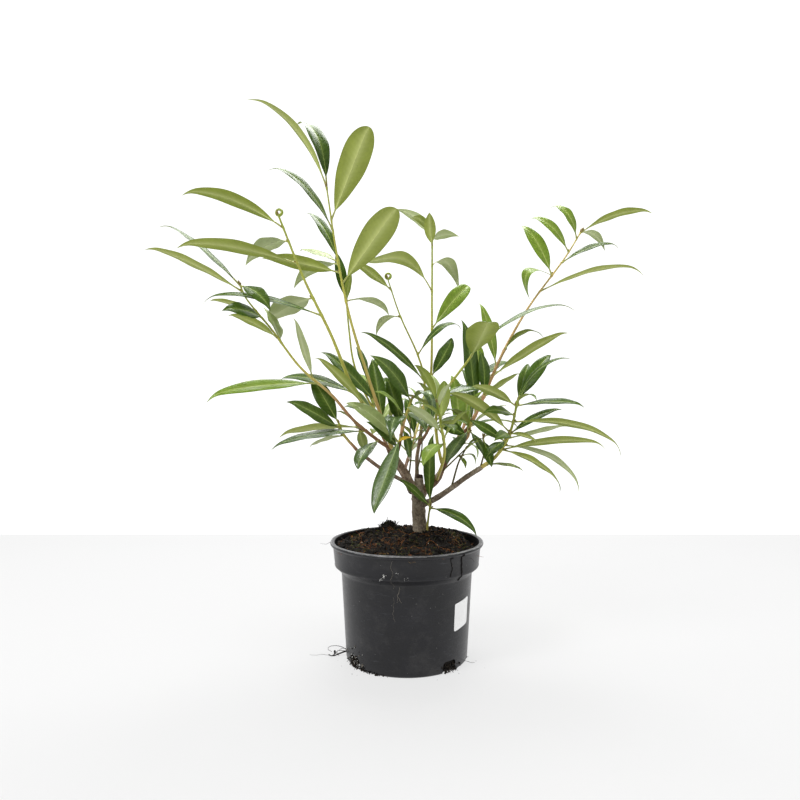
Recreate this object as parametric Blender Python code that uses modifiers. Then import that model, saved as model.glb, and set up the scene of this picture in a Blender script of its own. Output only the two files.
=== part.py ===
"""A potted cherry laurel (Prunus laurocerasus) in a round nursery pot.

A short trunk forks low into seven boughs. Every bough ends in one or more
shoots, and each shoot is one solid: a stem with its leaves fused on. The soil
and the pot are solids of their own. Blender units are metres, +Z is up, and the
origin is the middle of the flat underside of the pot.
"""

import bmesh
import bpy
import numpy as np
from mathutils.bvhtree import BVHTree

MM = 0.001                # one millimetre, in metres
GAP = 0.3                 # what neighbouring solids keep between them, in millimetres

# The pot, in millimetres
RIM_RADIUS = 95.0
POT_HEIGHT = 143.5
LIP_HEIGHT = 5.0          # the rolled lip on top of the collar
COLLAR_TOP_RADIUS = 91.5
COLLAR_FOOT_RADIUS = 89.2
COLLAR_HEIGHT = 29.0      # with its lip
SHOULDER_HEIGHT = 8.0     # the slope from the collar in to the body
SHOULDER = POT_HEIGHT - COLLAR_HEIGHT - SHOULDER_HEIGHT   # where that slope ends
BODY_TOP_RADIUS = 81.0
FOOT_RADIUS = 75.0
FOOT_ROUNDING = 3.0
WALL = 1.8
EDGE = 0.8                # the small bevels at the lip
FLOOR = 2.4
POT_SEGMENTS = 48
HOLE_TURNS = (-146, -49, 41, 131)   # where the drainage holes are, in degrees
HOLE_SIZE = (12.0, 20.0, 14.0)      # through the wall, along it and up

# The soil, in millimetres
SOIL_TOP = 147.0          # the flat patch that the trunk stands on
SOIL_PATCH = 24.0         # that patch's radius
SOIL_FALL = 9.0           # how far the soil falls from there to the wall
SOIL_DIP = 12.0           # and how much further on the right
SOIL_LUMP = 11.0          # the clump of twiggy compost behind on the left
LUMP_PLACE = (-25.0, 52.0)
SOIL_RINGS = 9
TRUNK_PLACE = (18.0, 35.0)
FOOT_CUT = SOIL_TOP + GAP # the level cut under the trunk

# Colours (linear), roughness
BARK = ((0.105, 0.070, 0.045), 0.85)
FOLIAGE = ((0.035, 0.095, 0.018), 0.35)
PLASTIC = ((0.016, 0.017, 0.019), 0.50)
SOIL = ((0.022, 0.015, 0.010), 0.95)

LIMB_LEVEL = 2            # a limb's bevel resolution: eight sides
STEM_LEVEL = 1            # a stem's: six sides
TUBE_STEPS = 4            # steps between two points of a limb or stem


# ---------------------------------------------------------------------------
# The plant's plan. Lengths are in millimetres, with x to the right, y away
# from the front and z up from the flat underside of the pot. Angles are in
# degrees.
# ---------------------------------------------------------------------------

# A limb: the points that its middle passes through and its radius at each.
LIMBS = {
    "trunk": dict(
        path=[(18, 35, 141), (17.5, 35, 154), (16, 35, 172), (15.5, 35, 196), (17, 35, 221)],
        radii=(12.0, 9.2, 8.4, 8.6, 4.4)),
    "bough_left": dict(
        path=[(14, 34, 194), (1, 28, 221), (-11, 20, 241), (-19, 14, 258)],
        radii=(6.2, 6.0, 5.0, 4.5)),
    "bough_right": dict(
        path=[(17, 36, 199), (38, 40, 211), (50, 42, 234), (68, 45, 262), (84, 48, 284)],
        radii=(5.4, 5.0, 4.6, 4.0, 3.4)),
    "bough_low_right": dict(
        path=[(14, 33, 181), (34, 28, 189), (55, 18, 204), (77, 8, 222), (94, 0, 234)],
        radii=(4.0, 3.8, 3.4, 3.2, 3.0)),
    "bough_low_left": dict(
        path=[(8, 31, 207), (-31, 15, 230), (-62, 0, 255)],
        radii=(2.8, 2.4, 2.1)),
    "bough_middle": dict(
        path=[(14, 40, 210), (14, 48, 240), (16, 53, 254), (21, 62, 284)],
        radii=(2.6, 2.4, 2.3, 2.1)),
    "bough_back_left": dict(
        path=[(8, 40, 198), (-6, 66, 220), (-22, 94, 242)],
        radii=(4.2, 3.6, 3.0)),
    "bough_back_right": dict(
        path=[(18, 42, 190), (42, 74, 214), (60, 100, 242)],
        radii=(4.2, 3.6, 3.0)),
}


def leaf(along, reach, width, roll=0, arch=0.10, hook=0.4, tone="deep", point=1.0):
    """One leaf: how far along its stem it grows, from its foot to its tip, its
    width, its turn about that line, how high it arches, how its tip hooks and
    how finely it narrows to that tip (0.5 is blunt)."""
    return dict(along=along, reach=reach, width=width, roll=roll, arch=arch, hook=hook, tone=tone,
                point=point)


# A shoot is a mass of foliage on one stem: the points that the stem passes
# through, its radius at the foot and at the tip, and its leaves. "spiral" deals
# more leaves round the stem, a golden turn apart: how many, from where to where
# along it, how long they are and how steeply they lean towards its tip.
SHOOTS = {
    "left_leader": dict(
        path=[(-19, 14, 258), (-27, 8, 282), (-50, -8, 353), (-70, -24, 421), (-84, -38, 493),
              (-95, -50, 570)],
        radii=(3.9, 1.3),
        leaves=[
            leaf(1.00, (-86, -31, 92), 22, arch=0.15, hook=0.5, tone="under"),
            leaf(1.00, (-40, 38, 92), 24, roll=-10, arch=0.20, point=0.9),
            leaf(0.88, (45, -32, 98), 35, roll=-30, arch=0.00, hook=0, tone="under", point=0.5),
            leaf(0.84, (-77, -8, 70), 20, roll=-35, arch=0.17, hook=0.7),
            leaf(0.73, (-41, 10, 67), 16, roll=-20, arch=0.12),
            leaf(0.65, (65, -42, 80), 35, roll=-40, arch=0.00, hook=0, tone="under", point=0.5),
            leaf(0.73, (-54, 57, 28), 18, roll=-15, arch=0.03, tone="pale"),
            leaf(0.72, (-64, 66, -16), 22, roll=15, arch=0.15, tone="pale"),
            leaf(0.585, (51, 66, -7), 20, roll=-5, arch=0.13, tone="pale"),
            leaf(0.175, (-71, 10, 69), 25, roll=-35, arch=0.06),
            leaf(0.10, (-16, 12, 85), 20, roll=-25, arch=0.03),
            leaf(0.69, (-95, 10, 21), 20, roll=50, arch=0.04, tone="under"),
            leaf(0.16, (-56, 40, 77), 22, roll=-15, arch=0.06),
        ]),
    "left_spray": dict(
        path=[(-15, 14, 248), (-32, -12, 288), (-63, -25, 328), (-90, -45, 395), (-120, -62, 459),
              (-147, -78, 529)],
        radii=(2.8, 1.1),
        leaves=[
            leaf(0.95, (-105, -33, 29), 21, roll=30, arch=0.15, hook=0.6, tone="under", point=0.9),
            leaf(0.82, (-128, -34, 13), 22, roll=30, arch=0.085, hook=0.6, tone="under", point=0.9),
            leaf(0.90, (-61, 51, -15), 24, roll=20, arch=0.16, hook=0.2, tone="pale"),
            leaf(0.69, (-62, 56, -18), 30, roll=30, arch=0.08, tone="pale", point=0.7),
            leaf(0.62, (-134, -20, 14), 18, roll=-30, hook=0.8),
            leaf(0.30, (-105, 50, 20), 20, roll=-30),
            leaf(0.24, (-55, -40, 59), 16, roll=15, arch=0.05, tone="under"),
        ]),
    "left_slender": dict(
        path=[(-18, 16, 256), (-27, 25, 277), (-38, 28, 298), (-56, 24, 332), (-68, 16, 368),
              (-73, 10, 408), (-76, 4, 444)],
        radii=(1.8, 1.0),
        leaves=[
            leaf(1.0, (-14, 14, 66), 14, roll=-35, arch=0.03),
            leaf(0.98, (8, -24, 34), 10, roll=20, arch=0.05),
            leaf(0.42, (24, 20, 18), 15, roll=40, arch=0.15, tone="pale", point=0.7),
            leaf(0.30, (20, 44, 40), 18, roll=30),
        ]),
    "far_left_spray": dict(
        path=[(-18, 8, 255), (-37, 5, 268), (-66, -8, 293), (-92, -18, 324), (-129, -32, 358),
              (-160, -45, 401), (-187, -55, 435), (-195, -58, 453)],
        radii=(3.4, 1.0),
        leaves=[
            leaf(1.00, (-94, -2, 70), 18, roll=-20, arch=0.08, hook=0.9),
            leaf(0.965, (-111, -5, 51), 18, roll=25, arch=0.055, hook=0.6, tone="under"),
            leaf(1.00, (39, -17, -31), 20, roll=30, arch=0.16),
            leaf(0.83, (-35, -45, 4), 24, roll=-50),
            leaf(0.87, (-58, 17, 16), 14, roll=25, arch=0.03, hook=0.1, tone="under"),
            leaf(0.72, (-50, -32, 24), 16, roll=20, arch=0.08, tone="under"),
            leaf(0.70, (-26, 47, 46), 26, roll=25, arch=0.04, tone="pale"),
            leaf(0.49, (-17, -34, 71), 13, roll=-5, arch=0.00, tone="pale"),
            leaf(0.46, (-119, -60, -21), 22, roll=-35, arch=0.075, hook=0.9, tone="bright"),
            leaf(0.18, (-106, 20, -11), 20, roll=25, arch=0.05, tone="under"),
            leaf(0.15, (-110, -36, -17), 18, roll=-25, arch=0.06, tone="sheen"),
            leaf(0.075, (-23, -58, -28), 23, roll=5, tone="sheen", point=0.7),
        ]),
    "low_left_spray": dict(
        path=[(-62.2, 0, 255.2), (-79, -8, 276), (-84, -10, 290)],
        radii=(2.0, 1.2),
        leaves=[
            leaf(0.95, (-38, 4, 62), 22, roll=-60, arch=0.04),
            leaf(0.80, (-59, -66, 35), 22, roll=-60, arch=0.05, hook=0.7),
            leaf(0.60, (-39, -60, -3), 15, roll=30, arch=0.04, tone="pale"),
        ]),
    "heart_front": dict(
        path=[(-12, 14, 252), (-9, -10, 264), (-4, -27, 290), (6, -31, 320)],
        radii=(2.6, 1.3),
        leaves=[
            leaf(0.46, (-33, -47, -87), 27, arch=0.00, hook=0, point=0.9),
            leaf(0.60, (-14, -52, -14), 24, arch=0.35, tone="sheen"),
            leaf(1.00, (23, -35, -22), 22, arch=0.50, tone="sheen"),
            leaf(0.80, (21, -40, -21), 20, arch=0.15, tone="sheen"),
            leaf(0.95, (-46, -38, 54), 24, roll=-80, arch=0.11),
            leaf(0.30, (-64, -6, 51), 20, roll=-65, arch=0.15, tone="pale", point=0.8),
            leaf(0.55, (-18, -20, 62), 26, roll=-90, arch=0.03, point=0.8),
            leaf(0.70, (-33, -50, 34), 16, roll=-50, arch=0.08, tone="bright"),
            leaf(0.15, (-38, -40, 35), 16, roll=-80, arch=0.12),
            leaf(0.25, (6, -25, 5), 8, roll=90, tone="gold"),
            leaf(0.58, (8, 12, -39), 18, roll=90, arch=0.06),
        ]),
    "heart_middle": dict(
        path=[(17, 54, 258), (30, 42, 282), (36, 34, 308)],
        radii=(2.0, 1.2),
        leaves=[],
        spiral=(8, 0.25, 1, 60, 35)),
    "middle_leader": dict(
        path=[(21, 62, 284.3), (34, 85, 348), (37, 115, 468), (38, 130, 540), (39, 133, 555)],
        radii=(2.1, 0.9),
        leaves=[
            leaf(1.00, (-55, 37, 52), 17, roll=65, arch=0.18, tone="pale"),
            leaf(1.00, (-34, -23, 18), 14, roll=25, arch=0.42, tone="under"),
            leaf(0.94, (-5, -11, 44), 17, roll=20, tone="under"),
            leaf(0.98, (41, 33, 13), 16, roll=-55, arch=0.20, tone="pale"),
            leaf(0.70, (-94, -56, 33), 26, roll=30, arch=0.34, hook=-1.1, tone="under"),
            leaf(0.84, (42, 41, -29), 22, roll=-20, arch=0.50, tone="pale"),
            leaf(0.50, (55, 27, 66), 24, roll=55, arch=0.11, tone="bright", point=0.6),
            leaf(0.25, (31, 22, 55), 22, roll=25, arch=-0.03, point=0.7),
        ]),
    "slender_shoot": dict(
        path=[(20, 57, 281), (25, 70, 338), (16, 62, 377), (-8, 50, 429), (-25, 40, 478)],
        radii=(1.7, 0.8),
        leaves=[
            leaf(0.92, (-49, -33, 32), 14, roll=30, arch=0.05, tone="under"),
            leaf(0.74, (-34, 30, -21), 15, roll=10, arch=0.28, tone="pale"),
            leaf(0.30, (-82, -50, 64), 15, roll=-65, arch=0.08),
            leaf(0.48, (62, 28, 35), 13, roll=30, arch=0.30, hook=0.7),
        ]),
    "right_leader": dict(
        path=[(84.2, 48, 284.3), (99, 52, 314), (122, 58, 366), (142, 62, 405), (169, 66, 449),
              (214, 72, 509), (238, 75, 547)],
        radii=(3.3, 1.0),
        leaves=[
            leaf(1.00, (92, -15, 25), 18, roll=-20, arch=0.125, tone="under"),
            leaf(0.96, (-33, 16, 47), 18, roll=-35, arch=0.26, hook=0.6, tone="bright"),
            leaf(0.89, (-50, 18, 49), 18, roll=-45, arch=0.21, hook=0.7, tone="bright"),
            leaf(0.76, (-36, 26, 75), 22, roll=-40, arch=0.11, tone="bright"),
            leaf(0.76, (-30, -2, -33), 20, roll=-35, arch=0.78, tone="bright"),
            leaf(0.67, (138, -7, 21), 18, roll=-15, arch=0.135, hook=0.9, tone="under"),
            leaf(0.83, (81, 9, 24), 15, roll=30, arch=0.13, hook=0.6),
            leaf(1.00, (47, 45, -13), 15, roll=-10, arch=0.20, tone="pale"),
            leaf(0.36, (45, -40, 14), 13, roll=-10, arch=0.27),
            leaf(0.235, (92, -36, 57), 18, roll=-30, arch=0.05, tone="under"),
            leaf(0.28, (-19, 23, 90), 18, roll=-15, arch=0.05, tone="bright"),
            leaf(0.05, (-17, -10, 126), 24, roll=-90, arch=0.04),
            leaf(0.14, (-6, -12, 61), 18, roll=-85),
            leaf(0.14, (39, -54, 30), 15, roll=-5, arch=0.02, tone="under"),
        ]),
    "short_right_shoot": dict(
        path=[(46, 40, 236), (39, 20, 267), (37, 0, 299), (48, -10, 329), (76, -20, 368), (84, -25, 383)],
        radii=(2.2, 1.2),
        leaves=[
            leaf(0.92, (11, -82, 35), 36, arch=0.00, hook=0.1, tone="under", point=0.5),
            leaf(0.90, (39, -40, 30), 20, roll=65, arch=0.05, tone="bright"),
            leaf(1.00, (125, 15, 50), 16, roll=15, arch=0.13, hook=0.5),
            leaf(0.50, (-8, 20, 40), 12, tone="pale"),
            leaf(0.45, (-50, -30, 22), 18),
            leaf(0.30, (34, -60, 10), 20),
            leaf(0.62, (-20, -35, -46), 18, roll=15, arch=0.15),
            leaf(0.55, (57, 30, 11), 20, roll=25, arch=0.12, tone="sheen"),
        ]),
    "right_spray": dict(
        path=[(94.2, 0, 234.3), (112, -8, 250), (127, -15, 279), (135, -22, 318)],
        radii=(2.6, 1.2),
        leaves=[
            leaf(1.00, (19, 30, 49), 14, roll=25),
            leaf(1.00, (47, 35, 60), 19, roll=40, arch=0.12),
            leaf(1.00, (57, -30, 52), 14, roll=35, arch=0.17),
            leaf(1.00, (14, -48, 3), 10, arch=0.15),
            leaf(0.92, (-60, -42, 24), 16, roll=30, arch=0.08, tone="under"),
            leaf(0.58, (-82, -57, 48), 20, roll=20, arch=0.09, tone="under"),
            leaf(0.72, (104, -92, -33), 18, roll=-35, arch=0.14, hook=0.6, tone="under"),
            leaf(0.925, (73, -38, -1), 14, roll=30, arch=0.085, hook=0.8),
            leaf(0.55, (64, -15, 32), 13, roll=40),
            leaf(0.50, (79, 24, 16), 12, roll=-40, arch=0.00, hook=0, tone="pale"),
            leaf(0.33, (112, -59, 8), 17, roll=-35, arch=0.09, hook=0.7, tone="under"),
            leaf(0.34, (56, -79, -41), 17, roll=-50, arch=0.115, tone="under"),
            leaf(0.40, (85, -48, -53), 14, roll=-40, arch=0.20, tone="pale"),
            leaf(0.05, (41, -36, -3), 8, roll=20, arch=0.08, tone="pale"),
            leaf(0.55, (-24, -45, -4), 15, roll=-40, tone="under"),
            leaf(0.47, (-28, -20, -21), 18, roll=-15),
            leaf(0.57, (26, -40, -8), 12, roll=-40, arch=0.06, tone="under"),
            leaf(0.80, (-41, -30, 5), 18, roll=-40),
            leaf(0.45, (-43, 10, 27), 16, roll=-45, arch=0.03),
        ]),
    "right_heart": dict(
        path=[(62, 50, 254), (78, 30, 268), (82, 10, 292)],
        radii=(1.8, 1.2),
        leaves=[
            leaf(0.75, (-32, -50, -41), 27, arch=0.05, hook=0.2, tone="sheen"),
            leaf(0.20, (21, -30, -17), 14, roll=5, arch=0.30),
            leaf(0.55, (-38, -20, 21), 18, roll=-55, arch=0.12),
            leaf(0.72, (18, -14, -35), 16, roll=10, arch=0.08),
            leaf(0.30, (17, -24, -21), 12, roll=-10, arch=0.35, tone="bright"),
        ],
        spiral=(5, 0.45, 1.0, 70, 30)),
    "back_left_spray": dict(
        path=[(-22.2, 94.3, 242.3), (-40, 130, 285), (-58, 172, 345)],
        radii=(2.6, 1.2),
        leaves=[],
        spiral=(11, 0.15, 1.0, 84, 38)),
    "back_middle_spray": dict(
        path=[(-4, 66, 218), (8, 110, 252), (18, 148, 282), (24, 172, 306)],
        radii=(2.4, 1.2),
        leaves=[],
        spiral=(10, 0.2, 1, 62, 30)),
    "back_right_spray": dict(
        path=[(60.2, 100.3, 242.3), (88, 140, 288), (112, 176, 350)],
        radii=(2.6, 1.2),
        leaves=[],
        spiral=(11, 0.15, 1.0, 84, 38)),
    "front_spray": dict(
        path=[(40, 38, 214), (46, -18, 252), (38, -76, 292), (32, -104, 316)],
        radii=(2.2, 1.2),
        leaves=[],
        spiral=(9, 0.45, 1, 62, 34)),
    "foot_shoot": dict(
        path=[(26, 26, 145), (28.5, 24, 170), (31, 22, 183)],
        radii=(1.6, 1.0),
        leaves=[
            leaf(0.90, (58, -20, -33), 17, roll=30, arch=0.19, hook=0.5),
            leaf(1.00, (4, 8, 84), 20, roll=-30, arch=0.04),
            leaf(1.00, (-40, -8, 37), 14, roll=-50, arch=0.05),
        ]),
}


# ---------------------------------------------------------------------------
# The growing rule
# ---------------------------------------------------------------------------

UP = np.array((0.0, 0.0, 1.0))
GOLDEN = 137.5            # the turn from one leaf of a spiral to the next
PETIOLE = 0.10            # the share of a leaf's length that is its stalk
FOOT_TAPER = 0.90         # how a blade widens from its stalk


def unit(vector):
    return np.asarray(vector, float) / np.linalg.norm(vector)


def turned(vector, axis, degrees):
    """The vector turned about the axis by the right-hand rule."""
    angle = np.radians(degrees)
    vector = np.asarray(vector, float)
    axis = unit(axis)
    return (vector * np.cos(angle) + np.cross(axis, vector) * np.sin(angle)
            + axis * np.dot(axis, vector) * (1 - np.cos(angle)))


def smooth_path(points, steps):
    """A curve through the points, with so many steps between each two."""
    points = np.asarray(points, float)
    held = np.vstack([2 * points[0] - points[1], points, 2 * points[-1] - points[-2]])
    curve = []
    for k in range(len(points) - 1):
        p0, p1, p2, p3 = held[k:k + 4]
        for t in np.arange(steps) / steps:
            curve.append(0.5 * (2 * p1 + (p2 - p0) * t + (2 * p0 - 5 * p1 + 4 * p2 - p3) * t ** 2
                                + (3 * p1 - p0 - 3 * p2 + p3) * t ** 3))
    curve.append(points[-1])
    return np.array(curve)


def radii_along(radii, count):
    return np.interp(np.linspace(0, 1, count), np.linspace(0, 1, len(radii)), radii)


def along_path(curve, share):
    """The place and the direction at a share of the curve's length."""
    steps = np.linalg.norm(np.diff(curve, axis=0), axis=1)
    at = np.concatenate([[0], np.cumsum(steps)])
    want = share * at[-1]
    k = int(np.clip(np.searchsorted(at, want) - 1, 0, len(steps) - 1))
    place = curve[k] + (curve[k + 1] - curve[k]) * (want - at[k]) / steps[k]
    return place, unit(curve[k + 1] - curve[k])


def spiral_leaves(curve, phase, count, start, end, length, lean):
    """Leaves dealt round a stem, a golden turn apart, shorter and steeper
    towards its tip."""
    chance = np.random.default_rng(int(phase))
    for k in range(count):
        share = k / max(count - 1, 1)
        along = start + (end - start) * share
        axis = along_path(curve, along)[1]
        across = turned(unit(np.cross(axis, (0, 1, 0.3))), axis, phase + GOLDEN * k)
        lift = np.radians(lean + 25 * share + chance.uniform(-8, 8))
        size = length * (1 - 0.28 * share) * chance.uniform(0.88, 1.12)
        reach = size * (np.cos(lift) * across + np.sin(lift) * axis)
        yield leaf(along, tuple(reach), 0.23 * size + 4, roll=chance.uniform(-25, 25),
                   arch=chance.uniform(0.06, 0.16), tone=("deep", "bright", "deep", "pale")[k % 4],
                   point=0.8)


def leaf_frame(reach, axis, roll):
    """The leaf's line, its side and its upper face's direction."""
    line = unit(reach)
    face = UP - line * line[2]
    if np.linalg.norm(face) < 0.15:
        face = axis - line * np.dot(axis, line)
    face = turned(unit(face), line, roll)
    return line, np.cross(face, line), face


def leaf_line(spec, share):
    """How far along and how high over the foot-to-tip line the midrib is."""
    length = np.linalg.norm(spec["reach"])
    fall = 1 - 0.55 * spec["hook"]
    peak = 1 / (1 + fall)
    height = share * np.maximum(1 - share, 0) ** fall / (peak * (1 - peak) ** fall)
    return share * length, spec["arch"] * length * height


def half_width(spec, share):
    """Half the blade's width: a long narrow blade, widest about its middle."""
    blade = np.clip((share - PETIOLE) / (1 - PETIOLE), 0, 1)
    shape = blade ** FOOT_TAPER * (1 - blade) ** spec["point"]
    widest = FOOT_TAPER / (FOOT_TAPER + spec["point"])
    return 0.5 * spec["width"] * shape / (widest ** FOOT_TAPER * (1 - widest) ** spec["point"])


# What a leaf's foot-to-tip line is turned by, in shares of its length, where it
# would touch something: to the back or the front, and up or down.
SIDE_TURNS = (0.12, -0.12, 0.24, -0.24, 0.36, -0.36, 0.5, -0.5)
TURNS = [(0, 0)] + [(side, rise) for rise in (0, 0.12, -0.12, 0.25) for side in SIDE_TURNS]
CLEAR = 0.6               # what a leaf keeps clear of all but its own stem, in millimetres
FOLD = 0.18               # how far a blade's edges stand over its midrib, for its half width
LEAF_STATIONS = (0.0, PETIOLE, 0.28, 0.55, 0.82)


def leaf_solid(spec, foot, axis, grown=0.0, first=0):
    """A leaf as a closed solid with four corners at each station: its corners
    and its faces."""
    line, side, face = leaf_frame(spec["reach"], axis, spec["roll"])
    thick = 0.5 * max(1.5, 0.012 * np.linalg.norm(spec["reach"])) + grown
    corners = []
    for share in LEAF_STATIONS[first:]:
        far, high = leaf_line(spec, share)
        middle = foot + far * line + high * face
        half = max(half_width(spec, share), 0.9) + grown
        raised = FOLD * half if share > PETIOLE else 0.0
        corners += [middle - half * side + raised * face, middle - thick * face,
                    middle + half * side + raised * face, middle + thick * face]
    far, high = leaf_line(spec, 1.0)
    corners.append(foot + (far + grown) * line + high * face)
    rings = len(LEAF_STATIONS) - first
    faces = [(3, 2, 1, 0)]
    for ring in range(rings - 1):
        for k in range(4):
            a, b = 4 * ring + k, 4 * ring + (k + 1) % 4
            faces.append((a, b, b + 4, a + 4))
    for k in range(4):
        faces.append((4 * rings - 4 + k, 4 * rings - 4 + (k + 1) % 4, 4 * rings))
    return np.array(corners), faces


def search_tree(solid):
    corners, faces = solid
    return BVHTree.FromPolygons([tuple(corner) for corner in corners], faces)


def touches(spec, foot, axis, shoot, stems, placed):
    """Whether a leaf would touch a limb, a stem or a leaf already there."""
    whole = leaf_solid(spec, foot, axis, CLEAR)
    low, high = whole[0].min(axis=0), whole[0].max(axis=0)
    whole_tree = search_tree(whole)
    blade_tree = search_tree(leaf_solid(spec, foot, axis, CLEAR, first=1))
    for name, curve, radii in stems:
        near = np.all((curve > low - 12) & (curve < high + 12), axis=1)
        if name == shoot:
            near &= np.linalg.norm(curve - foot, axis=1) > 0.16 * np.linalg.norm(spec["reach"])
        for point, radius in zip(curve[near], radii[near]):
            if (blade_tree if name == shoot else whole_tree).find_nearest(tuple(point), radius + CLEAR)[0]:
                return True
    for name, other_low, other_high, other_tree in placed:
        if np.all(low < other_high) and np.all(high > other_low):
            if (blade_tree if name == shoot else whole_tree).overlap(other_tree):
                return True
    return False


def grow():
    """Every shoot's stem and leaves, in order. A leaf that would touch a limb
    or another leaf is moved a little, and left out where nothing helps."""
    stems = []
    for name, plan in list(LIMBS.items()) + list(SHOOTS.items()):
        curve = smooth_path(plan["path"], 24)
        stems.append((name, curve, radii_along(plan["radii"], len(curve))))
    placed, grown = [], {}
    for number, (name, plan) in enumerate(SHOOTS.items()):
        curve = smooth_path(plan["path"], 24)
        length = np.linalg.norm(np.diff(curve, axis=0), axis=1).sum()
        wanted = list(plan["leaves"])
        if "spiral" in plan:
            wanted += spiral_leaves(curve, 40 * number, *plan["spiral"])
        grown[name] = []
        for spec in wanted:
            foot, axis = along_path(curve, min(spec["along"], 1 - 2.5 / length))
            reach = np.array(spec["reach"], float)
            for turn_y, turn_z in TURNS:
                moved = reach + np.linalg.norm(reach) * np.array((0, turn_y, turn_z))
                trial = dict(spec, reach=tuple(moved))
                if not touches(trial, foot, axis, name, stems, placed):
                    solid = leaf_solid(trial, foot, axis)
                    corners = solid[0]
                    placed.append((name, corners.min(axis=0), corners.max(axis=0), search_tree(solid)))
                    grown[name].append((trial, foot, axis))
                    break
    return grown


# ---------------------------------------------------------------------------
# Making the solids
# ---------------------------------------------------------------------------

def collection_named(name):
    collection = bpy.data.collections.new(name)
    bpy.context.scene.collection.children.link(collection)
    return collection


def material_named(name, finish):
    colour, roughness = finish
    material = bpy.data.materials.new(name)
    material.use_nodes = True
    shader = material.node_tree.nodes["Principled BSDF"]
    shader.inputs["Base Color"].default_value = (*colour, 1.0)
    shader.inputs["Roughness"].default_value = roughness
    shader.inputs["Metallic"].default_value = 0.0
    return material


def mesh_object(name, mesh, collection, material):
    piece = bpy.data.objects.new(name, mesh)
    collection.objects.link(piece)
    mesh.materials.clear()
    mesh.materials.append(material)
    return piece


def remove_object(piece):
    mesh = piece.data
    bpy.data.objects.remove(piece)
    bpy.data.meshes.remove(mesh)


def apply_modifiers(piece):
    """Puts what the modifiers make into the object's own mesh."""
    depsgraph = bpy.context.evaluated_depsgraph_get()
    made = bpy.data.meshes.new_from_object(piece.evaluated_get(depsgraph))
    old = piece.data
    piece.modifiers.clear()
    piece.data = made
    bpy.data.meshes.remove(old)


def tube(name, curve, radii, level, collection, material):
    """A tapering tube along a curve, closed at both ends."""
    data = bpy.data.curves.new(name, "CURVE")
    data.dimensions = "3D"
    data.bevel_depth = MM
    data.bevel_resolution = level
    data.use_fill_caps = True
    spline = data.splines.new("POLY")
    spline.points.add(len(curve) - 1)
    for point, place, radius in zip(spline.points, curve, radii):
        point.co = (*(place * MM), 1.0)
        point.radius = radius
    maker = bpy.data.objects.new(name, data)
    collection.objects.link(maker)
    depsgraph = bpy.context.evaluated_depsgraph_get()
    mesh = bpy.data.meshes.new_from_object(maker.evaluated_get(depsgraph))
    bpy.data.objects.remove(maker)
    bpy.data.curves.remove(data)
    shape = bmesh.new()
    shape.from_mesh(mesh)
    bmesh.ops.remove_doubles(shape, verts=shape.verts, dist=0.001 * MM)
    bmesh.ops.recalc_face_normals(shape, faces=shape.faces)
    shape.to_mesh(mesh)
    shape.free()
    return mesh_object(name, mesh, collection, material)


def limb_tube(name, plan, level, grown, collection, material):
    """A limb's or a stem's tube. A grown one is thicker and longer all round."""
    curve = smooth_path(plan["path"], TUBE_STEPS)
    if grown:
        curve[-1] += grown * unit(curve[-1] - curve[-2])
        curve[0] += grown * unit(curve[0] - curve[1])
    return tube(name, curve, radii_along(plan["radii"], len(curve)) + grown, level, collection, material)


def cut_level(piece, height):
    """Cuts off what lies under a height, and closes the cut."""
    shape = bmesh.new()
    shape.from_mesh(piece.data)
    geometry = shape.verts[:] + shape.edges[:] + shape.faces[:]
    cut = bmesh.ops.bisect_plane(shape, geom=geometry, plane_co=(0, 0, height * MM), plane_no=(0, 0, 1),
                                 clear_inner=True)
    edges = [item for item in cut["geom_cut"] if isinstance(item, bmesh.types.BMEdge)]
    bmesh.ops.holes_fill(shape, edges=edges)
    bmesh.ops.recalc_face_normals(shape, faces=shape.faces)
    shape.to_mesh(piece.data)
    shape.free()


def meet(first, second):
    """Whether two solids touch."""
    trees = []
    for piece in (first, second):
        shape = bmesh.new()
        shape.from_mesh(piece.data)
        trees.append(BVHTree.FromBMesh(shape))
        shape.free()
    return bool(trees[0].overlap(trees[1]))


def cut_clear(piece, plan, cutters):
    """Cuts a limb or a stem 0.3 mm clear of each limb that it grows from."""
    for cutter in cutters:
        if meet(piece, cutter):
            cut = piece.modifiers.new("clear", "BOOLEAN")
            cut.operation = "DIFFERENCE"
            cut.object = cutter
            apply_modifiers(piece)
            keep_body(piece, plan["path"][-1])


def bodies(shape):
    """The sets of faces that hang together."""
    left = set(shape.faces)
    while left:
        body, edge = set(), [left.pop()]
        while edge:
            face = edge.pop()
            body.add(face)
            for side in face.edges:
                for other in side.link_faces:
                    if other in left:
                        left.remove(other)
                        edge.append(other)
        yield body


def keep_body(piece, place):
    """Keeps the body nearest to a place, and drops scraps and sealed hollows."""
    shape = bmesh.new()
    shape.from_mesh(piece.data)
    place = np.array(place) * MM
    found = []
    for body in bodies(shape):
        points = np.array([vert.co for face in body for vert in face.verts])
        size = np.prod(np.ptp(points, axis=0) + MM)
        found.append((np.linalg.norm(points - place, axis=1).min() > 12 * MM, -size, len(found), body))
    found.sort(key=lambda row: row[:3])
    for row in found[1:]:
        bmesh.ops.delete(shape, geom=list(row[3]), context="FACES")
    shape.to_mesh(piece.data)
    shape.free()


# ---------------------------------------------------------------------------
# The pot and its soil
# ---------------------------------------------------------------------------

def wall_radius(height):
    """The outer radius of the pot's body, under its collar."""
    return FOOT_RADIUS + (BODY_TOP_RADIUS - FOOT_RADIUS) * height / SHOULDER


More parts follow.
